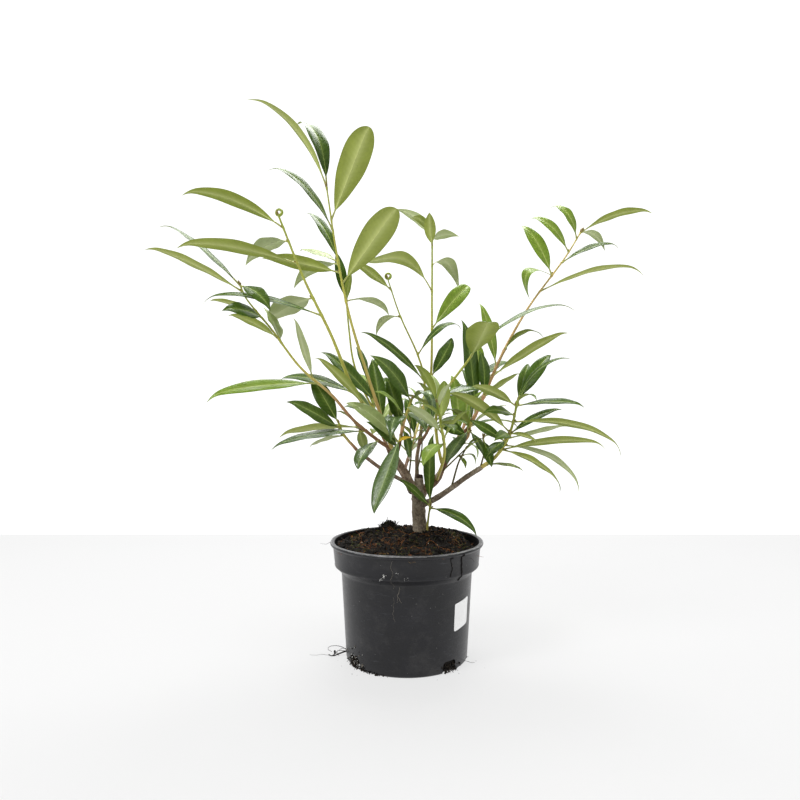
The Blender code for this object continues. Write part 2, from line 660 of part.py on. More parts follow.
def turned_object(name, profile, collection, material):
    """A profile turned about the upright axis."""
    mesh = bpy.data.meshes.new(name)
    points = [(radius * MM, 0, height * MM) for radius, height in profile]
    mesh.from_pydata(points, [(k, k + 1) for k in range(len(points) - 1)], [])
    piece = mesh_object(name, mesh, collection, material)
    screw = piece.modifiers.new("turn", "SCREW")
    screw.steps = screw.render_steps = POT_SEGMENTS
    screw.use_merge_vertices = True
    screw.merge_threshold = 0.01 * MM
    screw.use_smooth_shade = True
    return piece


def rounded(centre, radius, start, end, count):
    """Points on an arc, from one angle to another, in degrees."""
    angles = np.radians(np.linspace(start, end, count))
    return [(centre[0] + radius * np.cos(a), centre[1] + radius * np.sin(a)) for a in angles]


def inner_wall(height):
    """The radius of the pot's inner wall."""
    if height <= SHOULDER:
        return wall_radius(height) - WALL
    if height <= SHOULDER + SHOULDER_HEIGHT:
        share = (height - SHOULDER) / SHOULDER_HEIGHT
        return BODY_TOP_RADIUS - WALL + share * (COLLAR_FOOT_RADIUS - BODY_TOP_RADIUS)
    share = (height - SHOULDER - SHOULDER_HEIGHT) / COLLAR_HEIGHT
    return COLLAR_FOOT_RADIUS - WALL + share * (COLLAR_TOP_RADIUS - COLLAR_FOOT_RADIUS)


def make_pot(collection, cutters, material):
    """A thin-walled nursery pot: a tapering body, a collar under a rolled lip
    and four drainage holes round its foot."""
    lip = 0.5 * LIP_HEIGHT
    inner = [(0, FLOOR), (inner_wall(FLOOR), FLOOR)]
    inner += [(inner_wall(height), height) for height in (SHOULDER, SHOULDER + SHOULDER_HEIGHT)]
    inner += [(inner_wall(POT_HEIGHT), POT_HEIGHT - EDGE), (inner_wall(POT_HEIGHT) + EDGE, POT_HEIGHT)]
    outer = rounded((RIM_RADIUS - lip, POT_HEIGHT - lip), lip, 90, -90, 6)
    outer += [(COLLAR_TOP_RADIUS, POT_HEIGHT - LIP_HEIGHT - EDGE),
              (COLLAR_FOOT_RADIUS, POT_HEIGHT - COLLAR_HEIGHT), (BODY_TOP_RADIUS, SHOULDER)]
    outer += rounded((FOOT_RADIUS - FOOT_ROUNDING, FOOT_ROUNDING), FOOT_ROUNDING, 0, -90, 4)
    pot = turned_object("pot", inner + outer + [(0, 0)], collection, material)
    for number, turn in enumerate(HOLE_TURNS):
        cut = pot.modifiers.new(f"drain_{number}", "BOOLEAN")
        cut.operation = "DIFFERENCE"
        cut.object = drain_cutter(number, np.radians(turn), cutters, material)
    return pot


def drain_cutter(number, turn, cutters, material):
    """A block that cuts one drainage hole, through the wall just over the foot."""
    bpy.ops.mesh.primitive_cube_add(size=1)
    block = bpy.context.object
    block.name = f"drain_cutter_{number}"
    block.scale = [size * MM for size in HOLE_SIZE]
    away = FOOT_RADIUS * MM
    block.location = (away * np.cos(turn), away * np.sin(turn), 0.5 * HOLE_SIZE[2] * MM)
    block.rotation_euler = (0, 0, turn)
    block.hide_render = True
    block.display_type = "WIRE"
    for old in block.users_collection:
        old.objects.unlink(block)
    cutters.objects.link(block)
    block.data.materials.append(material)
    return block


def soil_height(x, y):
    """The soil's top: level round the trunk, falling to the wall, deeper on the
    right, with a clump behind on the left."""
    away = np.hypot(x - TRUNK_PLACE[0], y - TRUNK_PLACE[1])
    fall = np.clip((away - SOIL_PATCH) / 60, 0, 1)
    right = np.clip((x - 35) / 50, 0, 1)
    lump = np.clip(1 - np.hypot(x - LUMP_PLACE[0], y - LUMP_PLACE[1]) / 20, 0, 1)
    crumbs = 1.3 * np.sin(0.31 * x + 1.7 * np.sin(0.13 * y)) * np.cos(0.27 * y + 0.9)
    level = SOIL_TOP - SOIL_FALL * fall ** 1.3 - SOIL_DIP * right ** 2 * fall
    return level + SOIL_LUMP * lump ** 1.2 + crumbs * np.clip(fall * 3, 0, 1)


def make_soil(collection, material):
    """The soil: turned to the pot's inside, its top then raised to its lie."""
    floor = FLOOR + GAP
    top_radius = inner_wall(POT_HEIGHT - COLLAR_HEIGHT) - GAP
    profile = [(top_radius * share, POT_HEIGHT) for share in np.linspace(0, 1, SOIL_RINGS)]
    for height in (SHOULDER + SHOULDER_HEIGHT, SHOULDER, floor):
        profile.append((inner_wall(height) - GAP, height))
    profile.append((0, floor))
    soil = turned_object("soil", profile, collection, material)
    apply_modifiers(soil)
    for vert in soil.data.vertices:
        if vert.co.z > (POT_HEIGHT - 1) * MM:
            vert.co.z = MM * soil_height(vert.co.x / MM, vert.co.y / MM)
    return soil


# ---------------------------------------------------------------------------
# The limbs and the shoots
# ---------------------------------------------------------------------------

def make_limb(name, plan, level, collection, spare, cutters, material):
    """A limb, cut clear of those before it. It leaves a cutter for those after."""
    piece = limb_tube(name, plan, level, 0, collection, material)
    if plan["path"][0][2] < FOOT_CUT + GAP:
        cut_level(piece, FOOT_CUT)
    cut_clear(piece, plan, cutters)
    cutter = limb_tube(name + "_cutter", plan, level, GAP, spare, material)
    cutters.append(cutter)
    return piece


def make_leaf(name, grown_leaf, collection, material):
    corners, faces = leaf_solid(*grown_leaf)
    mesh = bpy.data.meshes.new(name)
    mesh.from_pydata([tuple(corner * MM) for corner in corners], [], faces)
    shape = bmesh.new()
    shape.from_mesh(mesh)
    bmesh.ops.triangulate(shape, faces=shape.faces)
    bmesh.ops.recalc_face_normals(shape, faces=shape.faces)
    shape.to_mesh(mesh)
    shape.free()
    return mesh_object(name, mesh, collection, material)


def fuse_leaves(stem, leaves, material):
    """Joins a shoot's leaves to its stem with one union."""
    spray = collection_named(stem.name + "_spray")
    for number, grown_leaf in enumerate(leaves):
        make_leaf(f"{stem.name}_leaf_{number}", grown_leaf, spray, material)
    union = stem.modifiers.new("fuse", "BOOLEAN")
    union.operation = "UNION"
    union.operand_type = "COLLECTION"
    union.collection = spray
    apply_modifiers(stem)
    for piece in list(spray.objects):
        remove_object(piece)
    bpy.data.collections.remove(spray)


def main():
    for old in list(bpy.data.objects):
        bpy.data.objects.remove(old)
    parts = collection_named("potted_cherry_laurel")
    spare = collection_named("cutters")
    bark = material_named("bark", BARK)
    foliage = material_named("foliage", FOLIAGE)
    make_pot(parts, spare, material_named("pot_plastic", PLASTIC))
    make_soil(parts, material_named("soil", SOIL))
    cutters = []
    for name, plan in LIMBS.items():
        make_limb(name, plan, LIMB_LEVEL, parts, spare, cutters, bark)
    stems = {name: make_limb(name, plan, STEM_LEVEL, parts, spare, cutters, foliage)
             for name, plan in SHOOTS.items()}
    for name, leaves in grow().items():
        fuse_leaves(stems[name], leaves, foliage)
        keep_body(stems[name], SHOOTS[name]["path"][-1])
    for cutter in cutters:
        remove_object(cutter)


main()
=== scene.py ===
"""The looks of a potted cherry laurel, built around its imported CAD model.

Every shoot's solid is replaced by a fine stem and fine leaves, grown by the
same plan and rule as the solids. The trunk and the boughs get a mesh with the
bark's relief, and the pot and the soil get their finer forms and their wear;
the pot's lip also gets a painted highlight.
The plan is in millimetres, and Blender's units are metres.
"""

import bmesh
import bpy
import numpy as np
from mathutils import Matrix, Vector, noise
from mathutils.bvhtree import BVHTree


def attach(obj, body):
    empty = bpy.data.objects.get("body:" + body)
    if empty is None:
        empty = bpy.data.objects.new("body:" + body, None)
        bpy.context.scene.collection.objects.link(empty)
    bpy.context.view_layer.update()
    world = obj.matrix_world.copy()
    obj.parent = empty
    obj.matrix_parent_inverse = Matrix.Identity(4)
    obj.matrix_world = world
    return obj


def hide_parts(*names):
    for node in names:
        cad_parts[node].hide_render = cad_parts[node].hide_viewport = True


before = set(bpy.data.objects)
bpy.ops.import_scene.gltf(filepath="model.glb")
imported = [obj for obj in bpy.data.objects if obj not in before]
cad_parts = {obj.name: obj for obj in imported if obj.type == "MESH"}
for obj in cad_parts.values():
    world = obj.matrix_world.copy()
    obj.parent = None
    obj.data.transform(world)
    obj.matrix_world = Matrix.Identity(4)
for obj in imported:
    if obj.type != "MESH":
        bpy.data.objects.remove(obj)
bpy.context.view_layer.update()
MM = 0.001                # one millimetre, in metres


# ---- The plant's plan ----
# Lengths are in millimetres, with x to the right, y away from the front and z up
# from the flat underside of the pot. Angles are in degrees.

# A limb: the points that its middle passes through and its radius at each.
LIMBS = {
    "trunk": dict(
        path=[(18, 35, 141), (17.5, 35, 154), (16, 35, 172), (15.5, 35, 196), (17, 35, 221)],
        radii=(12.0, 9.2, 8.4, 8.6, 4.4)),
    "bough_left": dict(
        path=[(14, 34, 194), (1, 28, 221), (-11, 20, 241), (-19, 14, 258)],
        radii=(6.2, 6.0, 5.0, 4.5)),
    "bough_right": dict(
        path=[(17, 36, 199), (38, 40, 211), (50, 42, 234), (68, 45, 262), (84, 48, 284)],
        radii=(5.4, 5.0, 4.6, 4.0, 3.4)),
    "bough_low_right": dict(
        path=[(14, 33, 181), (34, 28, 189), (55, 18, 204), (77, 8, 222), (94, 0, 234)],
        radii=(4.0, 3.8, 3.4, 3.2, 3.0)),
    "bough_low_left": dict(
        path=[(8, 31, 207), (-31, 15, 230), (-62, 0, 255)],
        radii=(2.8, 2.4, 2.1)),
    "bough_middle": dict(
        path=[(14, 40, 210), (14, 48, 240), (16, 53, 254), (21, 62, 284)],
        radii=(2.6, 2.4, 2.3, 2.1)),
    "bough_back_left": dict(
        path=[(8, 40, 198), (-6, 66, 220), (-22, 94, 242)],
        radii=(4.2, 3.6, 3.0)),
    "bough_back_right": dict(
        path=[(18, 42, 190), (42, 74, 214), (60, 100, 242)],
        radii=(4.2, 3.6, 3.0)),
}


def leaf(along, reach, width, roll=0, arch=0.1, tone="deep", hook=0.4, point=1.0):
    """One leaf: how far along its stem it grows, the way from its foot to its
    tip, its width, its turn about that line, how high it arches, its tone, how
    its tip hooks and how finely it narrows to that tip (0.5 is blunt)."""
    return dict(along=along, reach=reach, width=width, roll=roll, arch=arch, tone=tone, hook=hook,
                point=point)


# A shoot is a mass of foliage on one stem: the points that the stem passes
# through, its radius at the foot and at the tip, and its leaves, each as leaf()
# takes it. "spiral" deals more leaves round the stem, a golden turn apart: how
# many, from where to where along it, how long they are and how steeply they lean
# towards its tip.
SHOOTS = {
    "left_leader": dict(
        path=[(-19, 14, 258), (-27, 8, 282), (-50, -8, 353), (-70, -24, 421), (-84, -38, 493),
              (-95, -50, 570)], radii=(3.9, 1.3), leaves=[
            (1, (-86, -31, 92), 22, 0, 0.15, "under", 0.5),
            (1, (-40, 38, 92), 24, -10, 0.2, "deep", 0.4, 0.9),
            (0.88, (45, -32, 98), 35, -30, 0, "under", 0, 0.5),
            (0.84, (-77, -8, 70), 20, -35, 0.17, "deep", 0.7), (0.73, (-41, 10, 67), 16, -20, 0.12),
            (0.65, (65, -42, 80), 35, -40, 0, "under", 0, 0.5), (0.73, (-54, 57, 28), 18, -15, 0.03, "pale"),
            (0.72, (-64, 66, -16), 22, 15, 0.15, "pale"), (0.585, (51, 66, -7), 20, -5, 0.13, "pale"),
            (0.175, (-71, 10, 69), 25, -35, 0.06), (0.1, (-16, 12, 85), 20, -25, 0.03),
            (0.69, (-95, 10, 21), 20, 50, 0.04, "under"), (0.16, (-56, 40, 77), 22, -15, 0.06)]),
    "left_spray": dict(
        path=[(-15, 14, 248), (-32, -12, 288), (-63, -25, 328), (-90, -45, 395), (-120, -62, 459),
              (-147, -78, 529)], radii=(2.8, 1.1), leaves=[
            (0.95, (-105, -33, 29), 21, 30, 0.15, "under", 0.6, 0.9),
            (0.82, (-128, -34, 13), 22, 30, 0.085, "under", 0.6, 0.9),
            (0.9, (-61, 51, -15), 24, 20, 0.16, "pale", 0.2),
            (0.69, (-62, 56, -18), 30, 30, 0.08, "pale", 0.4, 0.7),
            (0.62, (-134, -20, 14), 18, -30, 0.1, "deep", 0.8), (0.3, (-105, 50, 20), 20, -30),
            (0.24, (-55, -40, 59), 16, 15, 0.05, "under")]),
    "left_slender": dict(
        path=[(-18, 16, 256), (-27, 25, 277), (-38, 28, 298), (-56, 24, 332), (-68, 16, 368), (-73, 10, 408),
              (-76, 4, 444)], radii=(1.8, 1), leaves=[
            (1, (-14, 14, 66), 14, -35, 0.03), (0.98, (8, -24, 34), 10, 20, 0.05),
            (0.42, (24, 20, 18), 15, 40, 0.15, "pale", 0.4, 0.7), (0.3, (20, 44, 40), 18, 30)]),
    "far_left_spray": dict(
        path=[(-18, 8, 255), (-37, 5, 268), (-66, -8, 293), (-92, -18, 324), (-129, -32, 358),
              (-160, -45, 401), (-187, -55, 435), (-195, -58, 453)], radii=(3.4, 1), leaves=[
            (1, (-94, -2, 70), 18, -20, 0.08, "deep", 0.9),
            (0.965, (-111, -5, 51), 18, 25, 0.055, "under", 0.6), (1, (39, -17, -31), 20, 30, 0.16),
            (0.83, (-35, -45, 4), 24, -50), (0.87, (-58, 17, 16), 14, 25, 0.03, "under", 0.1),
            (0.72, (-50, -32, 24), 16, 20, 0.08, "under"), (0.7, (-26, 47, 46), 26, 25, 0.04, "pale"),
            (0.49, (-17, -34, 71), 13, -5, 0, "pale"),
            (0.46, (-119, -60, -21), 22, -35, 0.075, "bright", 0.9),
            (0.18, (-106, 20, -11), 20, 25, 0.05, "under"), (0.15, (-110, -36, -17), 18, -25, 0.06, "sheen"),
            (0.075, (-23, -58, -28), 23, 5, 0.1, "sheen", 0.4, 0.7)]),
    "low_left_spray": dict(
        path=[(-62.2, 0, 255.2), (-79, -8, 276), (-84, -10, 290)], radii=(2, 1.2), leaves=[
            (0.95, (-38, 4, 62), 22, -60, 0.04), (0.8, (-59, -66, 35), 22, -60, 0.05, "deep", 0.7),
            (0.6, (-39, -60, -3), 15, 30, 0.04, "pale")]),
    "heart_front": dict(
        path=[(-12, 14, 252), (-9, -10, 264), (-4, -27, 290), (6, -31, 320)], radii=(2.6, 1.3), leaves=[
            (0.46, (-33, -47, -87), 27, 0, 0, "sheen", 0, 0.9), (0.6, (-14, -52, -14), 24, 0, 0.35, "sheen"),
            (1, (23, -35, -22), 22, 0, 0.5, "sheen"), (0.8, (21, -40, -21), 20, 0, 0.15, "sheen"),
            (0.95, (-46, -38, 54), 24, -80, 0.11), (0.3, (-64, -6, 51), 20, -65, 0.15, "pale", 0.4, 0.8),
            (0.55, (-18, -20, 62), 26, -90, 0.03, "deep", 0.4, 0.8),
            (0.7, (-33, -50, 34), 16, -50, 0.08, "bright"), (0.15, (-38, -40, 35), 16, -80, 0.12),
            (0.25, (6, -25, 5), 8, 90, 0.1, "gold"), (0.58, (8, 12, -39), 18, 90, 0.06)]),
    "heart_middle": dict(
        path=[(17, 54, 258), (30, 42, 282), (36, 34, 308)], radii=(2, 1.2), spiral=(8, 0.25, 1, 60, 35)),
    "middle_leader": dict(
        path=[(21, 62, 284.3), (34, 85, 348), (37, 115, 468), (38, 130, 540), (39, 133, 555)],
        radii=(2.1, 0.9), leaves=[
            (1, (-55, 37, 52), 17, 65, 0.18, "pale"), (1, (-34, -23, 18), 14, 25, 0.42, "under"),
            (0.94, (-5, -11, 44), 17, 20, 0.1, "under"), (0.98, (41, 33, 13), 16, -55, 0.2, "pale"),
            (0.7, (-94, -56, 33), 26, 30, 0.34, "under", -1.1), (0.84, (42, 41, -29), 22, -20, 0.5, "pale"),
            (0.5, (55, 27, 66), 24, 55, 0.11, "bright", 0.4, 0.6),
            (0.25, (31, 22, 55), 22, 25, -0.03, "deep", 0.4, 0.7)]),
    "slender_shoot": dict(
        path=[(20, 57, 281), (25, 70, 338), (16, 62, 377), (-8, 50, 429), (-25, 40, 478)], radii=(1.7, 0.8),
        leaves=[
            (0.92, (-49, -33, 32), 14, 30, 0.05, "under"), (0.74, (-34, 30, -21), 15, 10, 0.28, "pale"),
            (0.3, (-82, -50, 64), 15, -65, 0.08), (0.48, (62, 28, 35), 13, 30, 0.3, "deep", 0.7)]),
    "right_leader": dict(
        path=[(84.2, 48, 284.3), (99, 52, 314), (122, 58, 366), (142, 62, 405), (169, 66, 449),
              (214, 72, 509), (238, 75, 547)], radii=(3.3, 1), leaves=[
            (1, (92, -15, 25), 18, -20, 0.125, "under"), (0.96, (-33, 16, 47), 18, -35, 0.26, "bright", 0.6),
            (0.89, (-50, 18, 49), 18, -45, 0.21, "bright", 0.7),
            (0.76, (-36, 26, 75), 22, -40, 0.11, "bright"), (0.76, (-30, -2, -33), 20, -35, 0.78, "bright"),
            (0.67, (138, -7, 21), 18, -15, 0.135, "under", 0.9),
            (0.83, (81, 9, 24), 15, 30, 0.13, "deep", 0.6), (1, (47, 45, -13), 15, -10, 0.2, "pale"),
            (0.36, (45, -40, 14), 13, -10, 0.27), (0.235, (92, -36, 57), 18, -30, 0.05, "under"),
            (0.28, (-19, 23, 90), 18, -15, 0.05, "bright"), (0.05, (-17, -10, 126), 24, -90, 0.04),
            (0.14, (-6, -12, 61), 18, -85), (0.14, (39, -54, 30), 15, -5, 0.02, "under")]),
    "short_right_shoot": dict(
        path=[(46, 40, 236), (39, 20, 267), (37, 0, 299), (48, -10, 329), (76, -20, 368), (84, -25, 383)],
        radii=(2.2, 1.2), leaves=[
            (0.92, (11, -82, 35), 36, 0, 0, "under", 0.1, 0.5), (0.9, (39, -40, 30), 20, 65, 0.05, "bright"),
            (1, (125, 15, 50), 16, 15, 0.13, "deep", 0.5), (0.5, (-8, 20, 40), 12, 0, 0.1, "pale"),
            (0.45, (-50, -30, 22), 18), (0.3, (34, -60, 10), 20), (0.62, (-20, -35, -46), 18, 15, 0.15),
            (0.55, (57, 30, 11), 20, 25, 0.12, "sheen")]),
    "right_spray": dict(
        path=[(94.2, 0, 234.3), (112, -8, 250), (127, -15, 279), (135, -22, 318)], radii=(2.6, 1.2),
        leaves=[
            (1, (19, 30, 49), 14, 25), (1, (47, 35, 60), 19, 40, 0.12), (1, (57, -30, 52), 14, 35, 0.17),
            (1, (14, -48, 3), 10, 0, 0.15), (0.92, (-60, -42, 24), 16, 30, 0.08, "under"),
            (0.58, (-82, -57, 48), 20, 20, 0.09, "under"),
            (0.72, (104, -92, -33), 18, -35, 0.14, "under", 0.6),
            (0.925, (73, -38, -1), 14, 30, 0.085, "deep", 0.8), (0.55, (64, -15, 32), 13, 40),
            (0.5, (79, 24, 16), 12, -40, 0, "pale", 0), (0.33, (112, -59, 8), 17, -35, 0.09, "under", 0.7),
            (0.34, (56, -79, -41), 17, -50, 0.115, "under"), (0.4, (85, -48, -53), 14, -40, 0.2, "pale"),
            (0.05, (41, -36, -3), 8, 20, 0.08, "pale"), (0.55, (-24, -45, -4), 15, -40, 0.1, "under"),
            (0.47, (-28, -20, -21), 18, -15), (0.57, (26, -40, -8), 12, -40, 0.06, "under"),
            (0.8, (-41, -30, 5), 18, -40), (0.45, (-43, 10, 27), 16, -45, 0.03)]),
    "right_heart": dict(
        path=[(62, 50, 254), (78, 30, 268), (82, 10, 292)], radii=(1.8, 1.2), spiral=(5, 0.45, 1, 70, 30),
        leaves=[
            (0.75, (-32, -50, -41), 27, 0, 0.05, "sheen", 0.2), (0.2, (21, -30, -17), 14, 5, 0.3),
            (0.55, (-38, -20, 21), 18, -55, 0.12), (0.72, (18, -14, -35), 16, 10, 0.08),
            (0.3, (17, -24, -21), 12, -10, 0.35, "bright")]),
    "back_left_spray": dict(
        path=[(-22.2, 94.3, 242.3), (-40, 130, 285), (-58, 172, 345)], radii=(2.6, 1.2),
        spiral=(11, 0.15, 1, 84, 38)),
    "back_middle_spray": dict(
        path=[(-4, 66, 218), (8, 110, 252), (18, 148, 282), (24, 172, 306)], radii=(2.4, 1.2),
        spiral=(10, 0.2, 1, 62, 30)),
    "back_right_spray": dict(
        path=[(60.2, 100.3, 242.3), (88, 140, 288), (112, 176, 350)], radii=(2.6, 1.2),
        spiral=(11, 0.15, 1, 84, 38)),
    "front_spray": dict(
        path=[(40, 38, 214), (46, -18, 252), (38, -76, 292), (32, -104, 316)], radii=(2.2, 1.2),
        spiral=(9, 0.45, 1, 62, 34)),
    "foot_shoot": dict(
        path=[(26, 26, 145), (28.5, 24, 170), (31, 22, 183)], radii=(1.6, 1), leaves=[
            (0.9, (58, -20, -33), 17, 30, 0.19, "deep", 0.5), (1, (4, 8, 84), 20, -30, 0.04),
            (1, (-40, -8, 37), 14, -50, 0.05)]),
}


# Twigs too fine for the solids, each with the shoot that it belongs to
FINE_TWIGS = {
    "window_twig": dict(
        host="right_heart", path=[(57, 17.5, 206), (65, 10, 237), (71, 4, 251), (74, 2, 257)],
        radii=(1.3, 0.8), leaves=[
            (0.8, (16, -11, -10), 8, 0, 0.4, "bright"), (1, (20, -8, 12), 9)]),
    "crotch_twig": dict(
        host="right_heart", path=[(48, 38, 226), (65, 22, 245), (78, 9, 260)], radii=(1.1, 0.7), leaves=[
            (0.95, (18, -8, 6), 9, 0, 0.15), (0.6, (8, -16, -15), 8, 0, 0.2, "bright")]),
    "low_right_twig": dict(
        host="right_spray", path=[(92, 2, 232), (96, -4, 253), (95, -3, 273)], radii=(1.2, 0.7), leaves=[
            (0.9, (9, -9, -33), 13, 30, 0.05), (0.98, (20, -7, 5), 13, -30, 0.1, "pale", 0.4, 0.7),
            (0.7, (-17, -12, 14), 9, 0, 0.15)]),
    "far_left_twig": dict(
        host="far_left_spray", path=[(-57, 7, 279), (-61, 4, 284), (-64, 3, 288)], radii=(1.2, 0.9),
        leaves=[
            (0.6, (-27, 5, 20), 12, 20), (0.4, (7, 12, -31), 13, -30, 0.08, "sheen")]),
    "yellow_scrap": dict(
        host="heart_front", path=[(-7, -16, 273), (0, -24, 274), (6, -28, 273)], radii=(0.7, 0.45), leaves=[
            (1, (-15, -4, -4), 6, 60, 0.1, "gold", 0.4, 0.6)]),
    "middle_twig": dict(
        host="heart_middle", path=[(14, 43, 224), (20, 30, 257), (18, 21, 282)], radii=(1.1, 0.7), leaves=[
            (0.98, (12, -12, 14), 9, 0, 0.12), (0.8, (-12, -6, -12), 8, 0, 0.25, "bright")]),
    "left_twig": dict(
        host="heart_front", path=[(3, 30, 219), (6, 21, 252), (4, 13, 292)], radii=(1.2, 0.7), leaves=[
            (0.98, (-16, -10, 10), 9, 0, 0.25, "bright"), (0.75, (-12, -14, 10), 8, 0, 0.15)]),
}


# ---- The growing rule ----

UP = np.array((0.0, 0.0, 1.0))
PATH_STEPS = 24           # a curve's steps between two points of its plan
GOLDEN = 137.5            # the turn from one leaf of a spiral to the next
SPIRAL_TONES = ("deep", "bright", "deep", "pale")
SPIRAL_SHRINK = 0.28      # how much shorter a spiral's last leaf is than its first
SPIRAL_RISE = 25          # and how much steeper, in degrees
SPIRAL_WIDTH = (4, 0.23)  # its leaves' width: so many millimetres and a share of the length
PETIOLE = 0.10            # the share of a leaf's length that is its stalk
FOOT_TAPER = 0.90         # how a blade widens from its stalk


def unit(vector):
    return np.asarray(vector, float) / np.linalg.norm(vector)


def turned(vector, axis, degrees):
    """The vector turned about the axis by the right-hand rule."""
    angle = np.radians(degrees)
    vector = np.asarray(vector, float)
    axis = unit(axis)
    return (vector * np.cos(angle) + np.cross(axis, vector) * np.sin(angle)
            + axis * np.dot(axis, vector) * (1 - np.cos(angle)))


def smooth_path(points):
    """A curve through the points."""
    points = np.asarray(points, float)
    held = np.vstack([2 * points[0] - points[1], points, 2 * points[-1] - points[-2]])
    curve = []
    for k in range(len(points) - 1):
        p0, p1, p2, p3 = held[k:k + 4]
        for t in np.arange(PATH_STEPS) / PATH_STEPS:
            curve.append(0.5 * (2 * p1 + (p2 - p0) * t + (2 * p0 - 5 * p1 + 4 * p2 - p3) * t ** 2
                                + (3 * p1 - p0 - 3 * p2 + p3) * t ** 3))
    curve.append(points[-1])
    return np.array(curve)


def radii_at(radii, shares):
    """The radii at shares of the way, from radii given evenly along it."""
    return np.interp(shares, np.linspace(0, 1, len(radii)), radii)


def along_path(curve, share):
    """The place and the direction at a share of the curve's length."""
    steps = np.linalg.norm(np.diff(curve, axis=0), axis=1)
    at = np.concatenate([[0], np.cumsum(steps)])
    want = share * at[-1]
    k = int(np.clip(np.searchsorted(at, want) - 1, 0, len(steps) - 1))
    place = curve[k] + (curve[k + 1] - curve[k]) * (want - at[k]) / steps[k]
    return place, unit(curve[k + 1] - curve[k])


def spiral_leaves(curve, phase, count, start, end, length, lean):
    """Leaves dealt round a stem, a golden turn apart, shorter and steeper
    towards its tip."""
    chance = np.random.default_rng(int(phase))
    for k in range(count):
        share = k / max(count - 1, 1)
        along = start + (end - start) * share
        axis = along_path(curve, along)[1]
        across = turned(unit(np.cross(axis, (0, 1, 0.3))), axis, phase + GOLDEN * k)
        lift = np.radians(lean + SPIRAL_RISE * share + chance.uniform(-8, 8))
        size = length * (1 - SPIRAL_SHRINK * share) * chance.uniform(0.88, 1.12)
        reach = size * (np.cos(lift) * across + np.sin(lift) * axis)
        yield leaf(along, tuple(reach), SPIRAL_WIDTH[0] + SPIRAL_WIDTH[1] * size, chance.uniform(-25, 25),
                   chance.uniform(0.06, 0.16), SPIRAL_TONES[k % 4], point=0.8)


def ring_faces(rows, around):
    """The quads between rings of points that follow one another."""
    return [(a + k, a + (k + 1) % around, a + (k + 1) % around + around, a + k + around)
            for a in range(0, (rows - 1) * around, around) for k in range(around)]


def closed_rings(rows, around):
    """The same, and a face over either end."""
    last = (rows - 1) * around
    return [*ring_faces(rows, around), tuple(range(around))[::-1], tuple(range(last, last + around))]


def leaf_frame(reach, axis, roll):
    """The leaf's line, its side and its upper face's direction."""
    line = unit(reach)
    face = UP - line * line[2]
    if np.linalg.norm(face) < 0.15:
        face = axis - line * np.dot(axis, line)
    face = turned(unit(face), line, roll)
    return line, np.cross(face, line), face


def leaf_line(spec, share):
    """How far along and how high over the foot-to-tip line the midrib is."""
    length = np.linalg.norm(spec["reach"])
    fall = 1 - 0.55 * spec["hook"]
    peak = 1 / (1 + fall)
    height = share * np.maximum(1 - share, 0) ** fall / (peak * (1 - peak) ** fall)
    return share * length, spec["arch"] * length * height


def half_width(spec, share):
    """Half the blade's width: a long narrow blade, widest about its middle."""
    blade = np.clip((share - PETIOLE) / (1 - PETIOLE), 0, 1)
    shape = blade ** FOOT_TAPER * (1 - blade) ** spec["point"]
    widest = FOOT_TAPER / (FOOT_TAPER + spec["point"])
    return 0.5 * spec["width"] * shape / (widest ** FOOT_TAPER * (1 - widest) ** spec["point"])


# What a leaf's foot-to-tip line is turned by, in shares of its length, where it
# would touch something: to the back or the front, and up or down.
SIDE_TURNS = (0.12, -0.12, 0.24, -0.24, 0.36, -0.36, 0.5, -0.5)
TURNS = [(0, 0)] + [(side, rise) for rise in (0, 0.12, -0.12, 0.25) for side in SIDE_TURNS]
CLEAR = 0.6               # what a leaf keeps clear of all but its own stem, in millimetres
TIP_ROOM = 2.5            # the nearest that a leaf grows to its stem's tip
TWIG_LAST = 0.97          # and the last share of a fine twig that it grows on
LIMB_REACH = 12.0         # a limb's points this near a leaf's box are tested
OWN_STEM = 0.16           # and its own stem's, past this share of its length from its foot
FOLD = 0.18               # how far a blade's edges stand over its midrib, for its half width
LEAF_STATIONS = (0.0, PETIOLE, 0.28, 0.55, 0.82)


def leaf_solid(spec, foot, axis, grown=0.0, first=0):
    """A leaf as a closed solid, grown outward by so much, with four corners at
    each station from the first one on: its corners and its faces."""
    line, side, face = leaf_frame(spec["reach"], axis, spec["roll"])
    thick = 0.5 * max(1.5, 0.012 * np.linalg.norm(spec["reach"])) + grown
    corners = []
    for share in LEAF_STATIONS[first:]:
        far, high = leaf_line(spec, share)
        middle = foot + far * line + high * face
        half = max(half_width(spec, share), 0.9) + grown
        raised = FOLD * half if share > PETIOLE else 0.0
        corners += [middle - half * side + raised * face, middle - thick * face,
                    middle + half * side + raised * face, middle + thick * face]
    far, high = leaf_line(spec, 1.0)
    corners.append(foot + (far + grown) * line + high * face)
    rings = len(LEAF_STATIONS) - first
    last = 4 * rings - 4
    faces = [(3, 2, 1, 0), *ring_faces(rings, 4)]
    faces += [(last + k, last + (k + 1) % 4, last + 4) for k in range(4)]
    return np.array(corners), faces


def search_tree(solid):
    corners, faces = solid
    return BVHTree.FromPolygons([tuple(corner) for corner in corners], faces)


